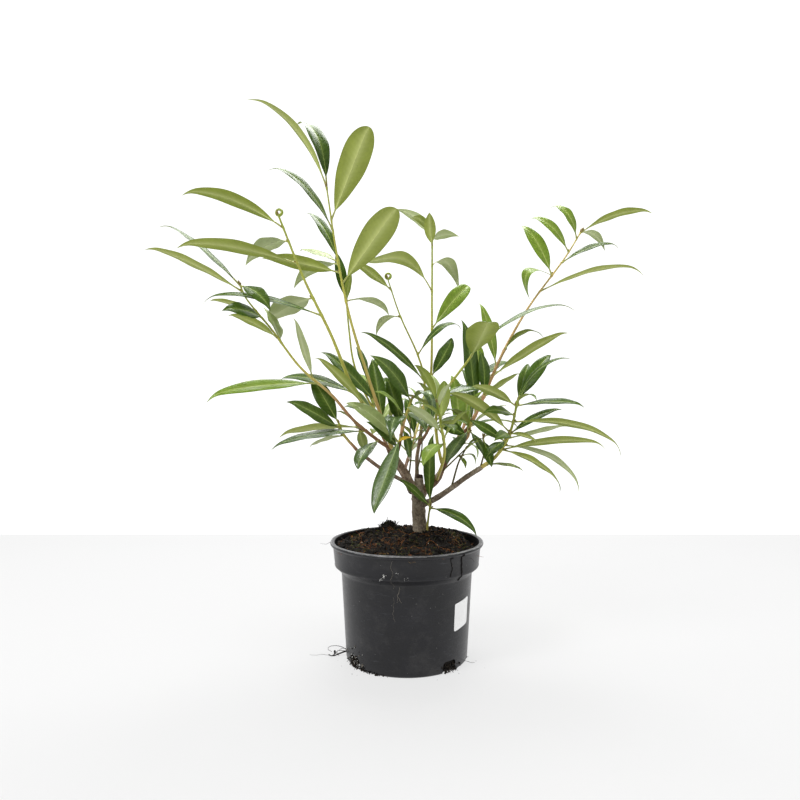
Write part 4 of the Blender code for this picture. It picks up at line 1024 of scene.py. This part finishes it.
RIM_RADIUS = 95.0         # the pot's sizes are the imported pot's
POT_HEIGHT = 143.5
LIP_HEIGHT = 5.0
COLLAR_TOP_RADIUS = 91.5
COLLAR_FOOT_RADIUS = 89.2
COLLAR_HEIGHT = 29.0
SHOULDER_HEIGHT = 8.0
SHOULDER = POT_HEIGHT - COLLAR_HEIGHT - SHOULDER_HEIGHT
BODY_TOP_RADIUS = 81.0
FOOT_RADIUS = 75.0
FOOT_ROUNDING = 3.0
WALL = 1.8
FLOOR = 2.4
POT_STEPS = 192
PALE_LIP_DEPTH = 0.8          # how far down its outside the lip is paler: worn, and a painted highlight
PALE_LIP_BREADTH = 1.7        # and how far in from its edge
HOLE_TURNS = (-146, -49, 41, 131)
HOLE_SIZE = (12.0, 20.0, 14.0)
LIP_WAVES = ((0.35, 3, 0.6), (0.2, 7, 0), (0.12, 17, 1))   # each wave's height, count and start
OVAL = 0.0016             # how far out of round the pot is, as a share of its radius


def wall_radius(height):
    return FOOT_RADIUS + (BODY_TOP_RADIUS - FOOT_RADIUS) * height / SHOULDER


def arc(centre, radius, start, end, count):
    angles = np.radians(np.linspace(start, end, count))
    return [(centre[0] + radius * np.cos(a), centre[1] + radius * np.sin(a)) for a in angles]


def pot_profile():
    """The pot's section: up its inside, over the lip and down its outside."""
    collar_foot = POT_HEIGHT - COLLAR_HEIGHT
    lip_foot = POT_HEIGHT - LIP_HEIGHT
    inside = [(0, FLOOR), (wall_radius(FLOOR) - WALL - 4, FLOOR), (wall_radius(FLOOR) - WALL, FLOOR + 3),
              (BODY_TOP_RADIUS - WALL, SHOULDER), (COLLAR_FOOT_RADIUS - WALL, SHOULDER + SHOULDER_HEIGHT),
              (COLLAR_TOP_RADIUS - WALL - 0.3, lip_foot - 3), (COLLAR_TOP_RADIUS - WALL, POT_HEIGHT - 1.2)]
    lip = arc((COLLAR_TOP_RADIUS - WALL + 1.2, POT_HEIGHT - 1.2), 1.2, 170, 95, 4)
    lip += arc((RIM_RADIUS - 2.0, POT_HEIGHT - 2.0), 2.0, 88, -60, 8)
    lip += [(RIM_RADIUS - 1.6, lip_foot + 0.3), (COLLAR_TOP_RADIUS + 1.0, lip_foot)]
    collar = arc((COLLAR_TOP_RADIUS + 0.9, lip_foot - 0.9), 0.9, 90, 180, 4)
    collar += [(COLLAR_FOOT_RADIUS + 0.15, collar_foot + 2.2), (COLLAR_FOOT_RADIUS + 0.4, collar_foot + 1.2)]
    collar += arc((COLLAR_FOOT_RADIUS - 1.0, collar_foot + 0.6), 1.2, 0, -70, 5)
    body = [(BODY_TOP_RADIUS + 1.2, SHOULDER + 1.4), (BODY_TOP_RADIUS + 0.25, SHOULDER + 0.3)]
    body += [(wall_radius(height), height) for height in np.linspace(SHOULDER - 1.5, FOOT_ROUNDING, 12)]
    foot = arc((FOOT_RADIUS - FOOT_ROUNDING, FOOT_ROUNDING), FOOT_ROUNDING, -15, -90, 5)
    return inside + lip + collar + body + foot + [(0, 0)]


def turned_piece(name, profile):
    """A profile turned about the upright axis, as a mesh."""
    mesh = bpy.data.meshes.new(name)
    mesh.from_pydata([(radius * MM, 0, height * MM) for radius, height in profile],
                     [(k, k + 1) for k in range(len(profile) - 1)], [])
    piece = bpy.data.objects.new(name, mesh)
    bpy.context.scene.collection.objects.link(piece)
    screw = piece.modifiers.new("turn", "SCREW")
    screw.steps = screw.render_steps = POT_STEPS
    screw.use_merge_vertices = True
    screw.merge_threshold = 0.00001
    apply_modifiers(piece)
    return piece


def apply_modifiers(piece):
    depsgraph = bpy.context.evaluated_depsgraph_get()
    made = bpy.data.meshes.new_from_object(piece.evaluated_get(depsgraph))
    piece.modifiers.clear()
    piece.data = made


def drain_cutter(turn):
    """A rounded block that cuts one drainage hole at the foot of the wall."""
    bpy.ops.mesh.primitive_cube_add(size=1)
    block = bpy.context.object
    block.data.transform(Matrix.Diagonal((HOLE_SIZE[0] * MM, HOLE_SIZE[1] * MM, 2 * HOLE_SIZE[2] * MM, 1)))
    block.location = (FOOT_RADIUS * MM * np.cos(turn), FOOT_RADIUS * MM * np.sin(turn), 0.0)
    block.rotation_euler = (0, 0, turn)
    bevel = block.modifiers.new("round", "BEVEL")
    bevel.width = 4 * MM
    bevel.segments = 4
    return block


def make_pot():
    """The pot, its lip a little uneven and worn as a used one is, with a painted highlight along its edge.
    """
    pot = turned_piece("pot_shell", pot_profile())
    for turn in HOLE_TURNS:
        block = drain_cutter(np.radians(turn))
        cut = pot.modifiers.new("drain", "BOOLEAN")
        cut.operation = "DIFFERENCE"
        cut.object = block
        apply_modifiers(pot)
        bpy.data.objects.remove(block)
    for vert in pot.data.vertices:
        x, y, z = vert.co
        turn = np.arctan2(y, x)
        near_lip = np.clip((z / MM - POT_HEIGHT + 9) / 8, 0, 1)
        uneven = sum(height * np.sin(count * turn + start) for height, count, start in LIP_WAVES)
        vert.co.z += uneven * near_lip * MM * 0.8
        push = 1 + OVAL * np.sin(2 * turn + 1.1) * np.clip(z / MM / POT_HEIGHT, 0, 1)
        vert.co.x, vert.co.y = x * push, y * push
    pot.data.shade_smooth()
    pot.data.set_sharp_from_angle(angle=np.radians(42))
    for material in (pot_material(), lip_wear_and_highlight_material()):
        pot.data.materials.append(material)
    # The lip's outer edge gets the paler material: wear and a painted highlight.
    for face in pot.data.polygons:
        away = np.hypot(face.center.x, face.center.y) / MM
        high = face.center.z > (POT_HEIGHT - PALE_LIP_DEPTH) * MM
        face.material_index = int(high and away > RIM_RADIUS - PALE_LIP_BREADTH)
    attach(pot, "root")
    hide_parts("pot")


LABEL_TURNS = (-45.5, -24.0)        # the label's ends round the pot, in degrees
LABEL_HEIGHTS = (49.5, 82.0)
LABEL_ROUND = 1.6         # the radius of its corners
LABEL_SLANT = 3.2         # how much higher its right end sits
LABEL_WAVE = 0.05         # how unevenly it lies
LABEL_TOP, LABEL_BACK = 0.28, 0.02   # its sides' heights over the wall
LABEL_ROWS, LABEL_COLUMNS = 24, 28


def label_sheet(lift):
    """One side of the label, row by row from its foot."""
    sheet = []
    for height in np.linspace(*LABEL_HEIGHTS, LABEL_ROWS + 1):
        edge = min(height - LABEL_HEIGHTS[0], LABEL_HEIGHTS[1] - height)
        inset = LABEL_ROUND - np.sqrt(max(0, LABEL_ROUND ** 2 - max(0, LABEL_ROUND - edge) ** 2))
        start, end = np.radians(LABEL_TURNS) + np.array((1, -1)) * inset / wall_radius(height)
        turns = np.linspace(start, end, LABEL_COLUMNS + 1)
        radius = wall_radius(height) + lift + LABEL_WAVE * np.sin(9 * turns + 0.3 * height)
        slanted = height + LABEL_SLANT * np.linspace(-0.7, 0.3, LABEL_COLUMNS + 1)
        sheet.append(np.stack([radius * np.cos(turns), radius * np.sin(turns), slanted], axis=1))
    return sheet


def make_label():
    """A bare white label, stuck round the pot's wall with rounded corners."""
    grid = np.arange((LABEL_ROWS + 1) * (LABEL_COLUMNS + 1)).reshape(LABEL_ROWS + 1, -1)
    corners = np.stack([grid[:-1, :-1], grid[:-1, 1:], grid[1:, 1:], grid[1:, :-1]], axis=-1)
    faces = []
    for quad in corners.reshape(-1, 4):
        faces += [tuple(quad), tuple(grid.size + quad[::-1])]
    rim = [*grid[0], *grid[1:, -1], *grid[-1, -2::-1], *grid[-2:0:-1, 0]]
    faces += [(b, a, a + grid.size, b + grid.size) for a, b in zip(rim, rim[1:] + rim[:1])]
    pieces = Pieces()
    pieces.add(label_sheet(LABEL_TOP) + label_sheet(LABEL_BACK), faces, 0)
    paper = plain_material("label_paper", (252, 252, 252), 0.42, 500, 0.00008, 0.02)
    label = pieces.make("blank_label", [paper], 50)
    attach(label, "root")


# ---- The soil and what clings to the pot ----

SOIL_TOP = 147.0          # the soil's lie is the packed soil's
SOIL_PATCH = 24.0         # the radius of its level patch
SOIL_FALL = 9.0           # how far it falls from there to the wall
SOIL_SLOPE = 60.0         # and over what distance
SOIL_DIP = 12.0           # how much lower it lies on the right
DIP_FROM, DIP_OVER = 35.0, 50.0   # from how far right, and over what distance
SOIL_LUMP = 11.0          # the clump's height
LUMP_PLACE = (-25.0, 52.0)
LUMP_RADIUS = 20.0
TRUNK_PLACE = (18.0, 35.0)
TRUNK_ROOM = 11.0         # what loose matter keeps clear of the trunk's middle
CLOD_SCALE = 0.07
CLOD_HEIGHTS = (0.6, 3.4)   # how cloddy it is by the trunk, and how much more further out
CURLED_SCRAP = (-31.0, 47.0, 152.0)   # where a scrap of bark curls up out of the clump
SOIL_RINGS = 70
SOIL_AROUND = 200
FLAKE_ROWS = 12
FLAKE_SECTION = ((-1, 0.0), (0, -0.5), (1, 0.0), (0, -0.2))   # across it and over it
CRUMBS, GRIT, LUMP_CRUMBS = 2600, 26, 170
FINE_FIBRES, COARSE_FIBRES, LUMP_TWIGS, LUMP_FLAKES = 620, 26, 30, 12


def inner_radius(height):
    """The radius of the pot's inner wall."""
    if height <= SHOULDER:
        return wall_radius(height) - WALL
    share = np.clip((height - SHOULDER) / SHOULDER_HEIGHT, 0, 1)
    radius = BODY_TOP_RADIUS - WALL + share * (COLLAR_FOOT_RADIUS - BODY_TOP_RADIUS)
    above = np.clip((height - SHOULDER - SHOULDER_HEIGHT) / COLLAR_HEIGHT, 0, 1)
    return radius + above * (COLLAR_TOP_RADIUS - COLLAR_FOOT_RADIUS)


def soil_height(x, y):
    """The soil's top: level round the trunk, falling to the wall, deeper on the
    right, with a clump behind on the left, and cloddy all over."""
    away = np.hypot(x - TRUNK_PLACE[0], y - TRUNK_PLACE[1])
    fall = np.clip((away - SOIL_PATCH) / SOIL_SLOPE, 0, 1)
    right = np.clip((x - DIP_FROM) / DIP_OVER, 0, 1)
    lump = np.clip(1 - np.hypot(x - LUMP_PLACE[0], y - LUMP_PLACE[1]) / LUMP_RADIUS, 0, 1)
    clods = noise.fractal(Vector((x, y, 0)) * CLOD_SCALE, 0.8, 2.1, 5)
    clods *= CLOD_HEIGHTS[0] + CLOD_HEIGHTS[1] * np.clip(fall * 2, 0, 1)
    level = SOIL_TOP - SOIL_FALL * fall ** 1.3 - SOIL_DIP * right ** 2 * fall
    return level + SOIL_LUMP * lump ** 1.2 + clods * min(1, away / 14)


def soil_places(chance, count):
    """Chance places on the soil's top."""
    radii = 0.97 * inner_radius(POT_HEIGHT - COLLAR_HEIGHT) * np.sqrt(chance.uniform(0, 1, count))
    turns = chance.uniform(0, 2 * np.pi, count)
    for x, y in zip(radii * np.cos(turns), radii * np.sin(turns)):
        if np.hypot(x - TRUNK_PLACE[0], y - TRUNK_PLACE[1]) > TRUNK_ROOM:
            yield np.array((x, y, soil_height(x, y)))


def make_soil():
    """The soil: rings of a cloddy top that go on down inside the pot."""
    pieces = Pieces()
    top = inner_radius(POT_HEIGHT - COLLAR_HEIGHT) - 0.3
    turns = np.arange(SOIL_AROUND) * 2 * np.pi / SOIL_AROUND
    rings = []
    for share in np.linspace(0.004, 1, SOIL_RINGS):
        ring = [(top * share * np.cos(t), top * share * np.sin(t)) for t in turns]
        rings.append([(x, y, soil_height(x, y)) for x, y in ring])
    for height in (SHOULDER + SHOULDER_HEIGHT, SHOULDER, 40, 12, FLOOR + 0.4):
        radius = inner_radius(height) - 0.4
        rings.append([(radius * np.cos(t), radius * np.sin(t), height) for t in turns])
    pieces.add(np.array(rings)[:, ::-1], closed_rings(len(rings), SOIL_AROUND), 0)
    soil = pieces.make("soil_bed", [soil_material("peat", (15, 12, 9), (44, 34, 22))], 80)
    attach(soil, "root")
    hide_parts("soil")


def crumb_shape(chance):
    """A rough lump about one across: a ball of a few faces, pushed about."""
    shape = bmesh.new()
    bmesh.ops.create_icosphere(shape, subdivisions=1, radius=0.5)
    points = np.array([vert.co for vert in shape.verts]) * chance.uniform(0.6, 1.3, (len(shape.verts), 1))
    faces = [tuple(vert.index for vert in face.verts) for face in shape.faces]
    shape.free()
    return points, faces


def add_crumb(pieces, chance, shapes, place, size, slot):
    points, faces = shapes[chance.integers(len(shapes))]
    turn = np.linalg.qr(chance.normal(size=(3, 3)))[0]
    turn *= np.sign(np.linalg.det(turn))
    pieces.add(place + (points * size * chance.uniform(0.6, 1.3, 3)) @ turn, faces, slot)


def add_strand(pieces, chance, start, heading, length, radius, slot, droop, curl, lift=None):
    """A thin fibre that wanders from its start, drooping and curling. lift gives
    the height that it stays above."""
    steps = max(int(length / 1.6), 5)
    place, heading = np.array(start, float), unit(heading)
    curve = [place.copy()]
    bend = chance.normal(0, curl, 3)
    for _ in range(steps):
        bend = 0.7 * bend + chance.normal(0, 0.5 * curl, 3)
        heading = unit(heading + 0.35 * bend + np.array((0, 0, -droop)))
        place = place + heading * length / steps
        if lift is not None:
            place[2] = max(place[2], lift(place) + radius)
        curve.append(place.copy())
    add_tube(pieces, np.array(curve), np.linspace(radius, 0.5 * radius, len(curve)), 5, slot)


def add_flake(pieces, start, way, length, width, slot):
    """A scrap of dead leaf or bark: a narrow closed sheet that curls up."""
    way = unit(way)
    side = unit(np.cross(way, (0.2, 0.1, 1)))
    turn = np.linspace(0, 2.6, FLAKE_ROWS)
    size = length / turn[-1]
    line = np.array(start) + size * (np.sin(turn)[:, None] * way + (1 - np.cos(turn))[:, None] * (0, 0, 1))
    half = 0.5 * width * np.sin(np.pi * np.linspace(0.12, 0.94, FLAKE_ROWS)) ** 0.7
    inward = unit(np.cross(side, way))
    points = [[place + across * h * side + up * inward for across, up in FLAKE_SECTION]
              for place, h in zip(line, half)]
    pieces.add(points, closed_rings(FLAKE_ROWS, len(FLAKE_SECTION)), slot)


def patch_slot(chance, place, share):
    """0 dark, 1 brown, 2 mossy or 3 rusty: moss and rust lie in patches."""
    patch = noise.noise(Vector((place[0], place[1], 40.0)) * 0.055)
    if (patch > 0.32 or patch < -0.14) and chance.uniform() < share:
        return 3 if patch > 0 else 2
    return int(chance.uniform() < 0.2)


def under(place):
    """The height of the soil under a place."""
    return soil_height(place[0], place[1])


def on_lump(chance, spread):
    """A chance place on the clump."""
    x, y = np.array(LUMP_PLACE) + chance.normal(0, spread, 2)
    return np.array((x, y, soil_height(x, y)))


def make_crumbs(chance):
    """Crumbs of peat, moss and rust, and grains of white grit."""
    shapes = [crumb_shape(chance) for _ in range(12)]
    pieces = Pieces()
    for place in soil_places(chance, CRUMBS):
        size = chance.gamma(1.9, 1.05) + 0.5
        add_crumb(pieces, chance, shapes, place + (0, 0, 0.15 * size), size, patch_slot(chance, place, 0.4))
    for place in soil_places(chance, GRIT):
        add_crumb(pieces, chance, shapes, place + (0, 0, 0.7), chance.uniform(0.6, 1.5), 4)
    for _ in range(LUMP_CRUMBS):
        place = on_lump(chance, 8)
        size = chance.uniform(1.5, 5.5)
        add_crumb(pieces, chance, shapes, place + (0, 0, chance.uniform(0, 2.5)), size,
                  chance.choice(3, p=(0.8, 0.12, 0.08)))
    return pieces.make("soil_crumbs", [
        soil_material("crumb_dark", (12, 10, 8), (32, 25, 19)),
        soil_material("crumb_brown", (30, 25, 18), (62, 51, 35)),
        soil_material("crumb_moss", (38, 40, 15), (80, 80, 34)),
        soil_material("crumb_rust", (56, 34, 17), (104, 66, 32)),
        plain_material("grit_white", (226, 222, 208), 0.8, 900, 0.0003)], 40)


def make_fibres(chance):
    """Fine and coarse fibres, and the twigs and flakes of the clump."""
    strands = Pieces()
    for place in soil_places(chance, FINE_FIBRES):
        heading = chance.normal(0, 1, 3) * (1, 1, 0.4)
        slot = (1, 0, 2, 1)[patch_slot(chance, place, 0.55)] if chance.uniform() < 0.6 else 3
        add_strand(strands, chance, place + (0, 0, 0.6), heading, chance.uniform(7, 24),
                   chance.uniform(0.12, 0.3), slot, 0.12, 0.8, under)
    for place in soil_places(chance, COARSE_FIBRES):
        heading = chance.normal(0, 1, 3) * (1, 1, 0.2)
        add_strand(strands, chance, place + (0, 0, 1.2), heading, chance.uniform(14, 26),
                   chance.uniform(0.3, 0.55), int(chance.integers(0, 2)), 0.05, 1.0, under)
    for _ in range(LUMP_TWIGS):
        add_strand(strands, chance, on_lump(chance, 7), (chance.normal(), chance.normal(), 1.6),
                   chance.uniform(5, 12), chance.uniform(0.4, 1.0), 3, 0.1, 0.6)
    for number in range(LUMP_FLAKES):
        way = np.array((np.cos(0.7 * number), 0.4 * np.sin(number), 0.1))
        add_flake(strands, on_lump(chance, 7) + (0, 0, 0.5), way, chance.uniform(6, 11),
                  chance.uniform(1.8, 3.4), 3)
    add_flake(strands, CURLED_SCRAP, (1, 0, 0.5), 13, 2.6, 3)
    return strands.make("soil_fibres", [
        plain_material("fibre_straw", (124, 98, 56), 0.8, 500, 0.0002),
        plain_material("fibre_rust", (134, 80, 34), 0.8, 500, 0.0002),
        plain_material("fibre_moss", (98, 104, 44), 0.8, 500, 0.0002),
        plain_material("twig_dark", (24, 20, 15), 0.85, 500, 0.0004)], 60)


def make_litter():
    """What lies on the soil."""
    chance = np.random.default_rng(77)
    for piece in (make_crumbs(chance), make_fibres(chance)):
        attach(piece, "root")


def on_wall(turn, height, lift):
    """A place on the pot's outside: degrees round from the right, and height."""
    if height > POT_HEIGHT - COLLAR_HEIGHT:
        share = (height - POT_HEIGHT + COLLAR_HEIGHT) / (COLLAR_HEIGHT - LIP_HEIGHT)
        radius = COLLAR_FOOT_RADIUS + np.clip(share, 0, 1) * (COLLAR_TOP_RADIUS - COLLAR_FOOT_RADIUS)
        radius += 3.6 * (height > POT_HEIGHT - LIP_HEIGHT)
    elif height > SHOULDER:
        share = (height - SHOULDER) / SHOULDER_HEIGHT
        radius = BODY_TOP_RADIUS + share * (COLLAR_FOOT_RADIUS - BODY_TOP_RADIUS)
    else:
        radius = wall_radius(height)
    turn = np.radians(turn)
    return np.array(((radius + lift) * np.cos(turn), (radius + lift) * np.sin(turn), height))


def wall_strand(pieces, chance, turn, top, foot, radius, slot, wander):
    """A root or a drip that runs down the pot's outside."""
    heights = np.linspace(top, foot, max(int((top - foot) / 1.5), 6))
    turns = turn + np.cumsum(chance.normal(0, wander, len(heights)))
    curve = np.array([on_wall(t, h, 0.5 * radius) for t, h in zip(turns, heights)])
    add_tube(pieces, curve, radius * chance.uniform(0.7, 1.2, len(curve)), 6, slot)


# Roots (0) and drips (1) down the pot's outside: turn, top, foot, radius, which
# and how far each wanders
WALL_STRANDS = ((-100, 138, 104, 0.14, 0, 0.5), (-96, 106, 88, 0.22, 0, 0.9),
                (-102, 94, 66, 0.12, 0, 0.6), (-97, 96, 88, 0.13, 0, 1.1),
                (-56, 139, 116, 0.55, 1, 0.35), (-46, 141, 108, 0.75, 1, 0.35))
# Rubbed spots on the pot's outside: turn, height and size
SCUFFS = ((-107, 121, 1.9), (-109.5, 115, 1.6), (-108, 118, 1.2), (-91, 117, 1.0), (-98, 124, 0.9))
# Bits on the ground by the foot: x, y and size in millimetres
FLOOR_BITS = ((-64, -62, 1.3), (-58, -66, 0.9), (84, -22, 0.9), (92, -44, 0.7), (-78, -38, 0.8),
              (60, -60, 1.0), (-84, -20, 0.7), (34, -78, 0.8))
# Loose roots: each one's points, then its radius
LOOSE_ROOTS = (
    (((-74, 0, 6), (-84, -2, 11), (-95, -2, 11), (-98, -3, 7.5), (-93, -4, 5)), 0.45),
    (((-74, 0, 5), (-83, -4, 3), (-89, -6, 1.2), (-94, -7, 1.1), (-97, -6, 2.2)), 1.15),
    (((-95, -6, 0.8), (-105, -5, 2), (-113, -4, 0.6), (-121, -4, 0.9)), 0.22),
    (((-74, -2, 5), (-84, -3, 6), (-90, -5, 3), (-91, -6, 1)), 0.4),
    (((-74, 4, 4), (-80, 2, 7), (-86, 1, 4), (-90, 4, 1)), 0.35),
    (((64, -26, 3), (72, -27, 2), (78, -28, 0.6), (82, -27, 0.5)), 0.3),
    (((-93, -8, 143), (-100, -9, 140), (-107, -10, 141)), 0.22))
# Flakes on the ground: where each starts, its way and its length
FLOOR_FLAKES = (((-84, -4, 0.8), (-1, 0.2, 0), 8), ((-92, -5, 0.8), (1, 0.5, 0), 7),
                ((-89, 0, 0.8), (-0.6, 1, 0), 6))


def scatter_crumbs(pieces, chance, shapes, turns, heights, sizes, count):
    """Crumbs stuck to the pot's foot or lying close against it."""
    for _ in range(count):
        size = chance.uniform(*sizes)
        height = chance.uniform(*heights) + 0.3 * size
        place = on_wall(chance.normal(*turns), height, chance.uniform(-1.5, 1.2))
        add_crumb(pieces, chance, shapes, place, size, int(chance.integers(1, 4)))


def make_clinging():
    """Fine roots and soil drips on the pot, soil and roots out of its drain
    holes, and the bits that lie by its foot."""
    chance = np.random.default_rng(19)
    pieces = Pieces()
    shapes = [crumb_shape(chance) for _ in range(8)]
    for strand in WALL_STRANDS:
        wall_strand(pieces, chance, *strand)
    for turn, height, size in SCUFFS:
        for _ in range(5):
            place = on_wall(turn + chance.normal(0, 0.8), height + chance.normal(0, 0.9), 0.05)
            add_crumb(pieces, chance, shapes, place, size * chance.uniform(0.3, 1), 4)
    for hole, spread, count in ((-146, 7, 90), (-49, 6.5, 80)):
        scatter_crumbs(pieces, chance, shapes, (hole, spread), (0, 9), (0.8, 3.2), count)
        for _ in range(16):
            start = on_wall(hole + chance.normal(0, 6), chance.uniform(0.6, 9), -1.5)
            out = unit(start * (1, 1, 0)) + chance.normal(0, 0.5, 3)
            add_strand(pieces, chance, start, out, chance.uniform(4, 9), chance.uniform(0.2, 0.45),
                       int(chance.integers(1, 3)), 0.4, 0.7, lambda p: 0.0)
    for _ in range(110):
        place = on_wall(chance.normal(-144, 5.5), 4 + chance.gamma(2.0, 3.0), 0.1)
        add_crumb(pieces, chance, shapes, place, chance.uniform(0.5, 2.1), int(chance.choice((0, 3, 3, 4))))
    scatter_crumbs(pieces, chance, shapes, (-130, 11), (0, 2.2), (0.7, 2.6), 90)
    scatter_crumbs(pieces, chance, shapes, (-8, 3), (0, 2), (0.6, 1.6), 8)
    for number, (x, y, size) in enumerate(FLOOR_BITS):
        add_crumb(pieces, chance, shapes, np.array((x, y, 0.4 * size)), size, 1 + number % 2)
    for points, radius in LOOSE_ROOTS:
        curve = spread_curve(points, 0.8)[0]
        curve[1:-1] += chance.normal(0, 0.12, (len(curve) - 2, 3))
        add_tube(pieces, curve, np.linspace(radius, 0.5 * radius, len(curve)), 6, 1)
    for start, way, length in FLOOR_FLAKES:
        add_flake(pieces, start, way, length, 3.0, 1)
    pieces.points = [np.maximum(points, (-np.inf, -np.inf, 0.03)) for points in pieces.points]
    roots = pieces.make("roots_and_drips", [
        plain_material("root_pale", (120, 114, 104), 0.7, 600, 0.0001),
        plain_material("root_dark", (20, 16, 13), 0.8, 600, 0.0002),
        plain_material("root_brown", (44, 35, 26), 0.8, 600, 0.0002),
        soil_material("crumb_spilled", (18, 15, 12), (60, 48, 34)),
        plain_material("lime_spot", (196, 196, 192), 0.8, 600, 0.0001)], 60)
    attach(roots, "root")


# ---- The studio ----

# Places and sizes are in metres.
CAMERA_PLACE = (-0.0084, -0.85, 0.318)
CAMERA_LENS = 30.6
TABLE_SIZE = (6, 4)
TABLE_BACK = 0.76         # the table's far edge, behind the pot
TABLE_WHITE = (0.15, 0.69)   # its shade, and how much it glows
BACKDROP_SIZE = (12, 8)
BACKDROP_PLACE = (0, 3.5, 1)
BACKDROP_WHITE = (0.5, 1.0)
SKY_FRONT = 0.24          # the room's light from the front
SKY_BACK = 0.45           # and from the back
# Each light's place, the height over the pot's foot that it aims at, its size
# and its watts
LIGHTS = {"key": ((-1.3, -1.1, 1.7), 0.35, (0.6, 0.6), 30),
          "fill": ((1.5, -0.9, 0.9), 0.3, (1.0, 1.4), 9),
          "top": ((0.1, 0.6, 1.9), 0.35, (1.1, 0.8), 34)}


def flat_plane(name, size, place, material, turn=(0, 0, 0)):
    bpy.ops.mesh.primitive_plane_add(size=1, location=place, rotation=turn)
    plane = bpy.context.object
    plane.name = name
    plane.scale = (*size, 1)
    plane.data.materials.append(material)


def glowing_white(name, shade, glow):
    """A white that is overexposed, as a brightly lit studio's is."""
    return Nodes(name, (shade, shade, shade), 0.8, Specular_IOR_Level=0.1, Emission_Color=(1, 1, 1),
                 Emission_Strength=glow).material


def area_light(name, place, aim, size, watts):
    data = bpy.data.lights.new(name, "AREA")
    data.shape = "RECTANGLE"
    data.size, data.size_y = size
    data.energy = watts
    light = bpy.data.objects.new(name, data)
    light.location = place
    light.rotation_euler = (Vector((0, 0, aim)) - Vector(place)).to_track_quat("-Z", "Y").to_euler()
    bpy.context.scene.collection.objects.link(light)


def make_studio():
    """A pale table, a white backdrop and soft light from all round."""
    scene = bpy.context.scene
    scene.view_settings.view_transform = "Standard"
    scene.world = bpy.data.worlds.new("studio")
    scene.world.use_nodes = True
    tree = scene.world.node_tree
    sky = tree.nodes["Background"]
    sky.inputs["Color"].default_value = (1, 1, 1, 1)
    ways = tree.nodes.new("ShaderNodeSeparateXYZ")
    shade = tree.nodes.new("ShaderNodeMapRange")
    shade.inputs["From Min"].default_value = -1
    shade.inputs["To Min"].default_value, shade.inputs["To Max"].default_value = SKY_FRONT, SKY_BACK
    tree.links.new(tree.nodes.new("ShaderNodeTexCoord").outputs["Generated"], ways.inputs["Vector"])
    tree.links.new(ways.outputs["Y"], shade.inputs["Value"])
    tree.links.new(shade.outputs["Result"], sky.inputs["Strength"])
    table = glowing_white("table_white", *TABLE_WHITE)
    flat_plane("table", TABLE_SIZE, (0, TABLE_BACK - TABLE_SIZE[1] / 2, 0), table)
    backdrop = glowing_white("backdrop_white", *BACKDROP_WHITE)
    flat_plane("backdrop", BACKDROP_SIZE, BACKDROP_PLACE, backdrop, (np.pi / 2, 0, 0))
    for name, light in LIGHTS.items():
        area_light(name, *light)
    camera = bpy.data.cameras.new("camera")
    camera.lens = CAMERA_LENS
    camera.sensor_width = 36
    holder = bpy.data.objects.new("camera", camera)
    holder.location = CAMERA_PLACE
    holder.rotation_euler = (np.pi / 2, 0, 0)
    scene.collection.objects.link(holder)
    scene.camera = holder


def main():
    make_shoots()
    make_limbs()
    make_pot()
    make_label()
    make_soil()
    make_litter()
    make_clinging()
    make_studio()


main()
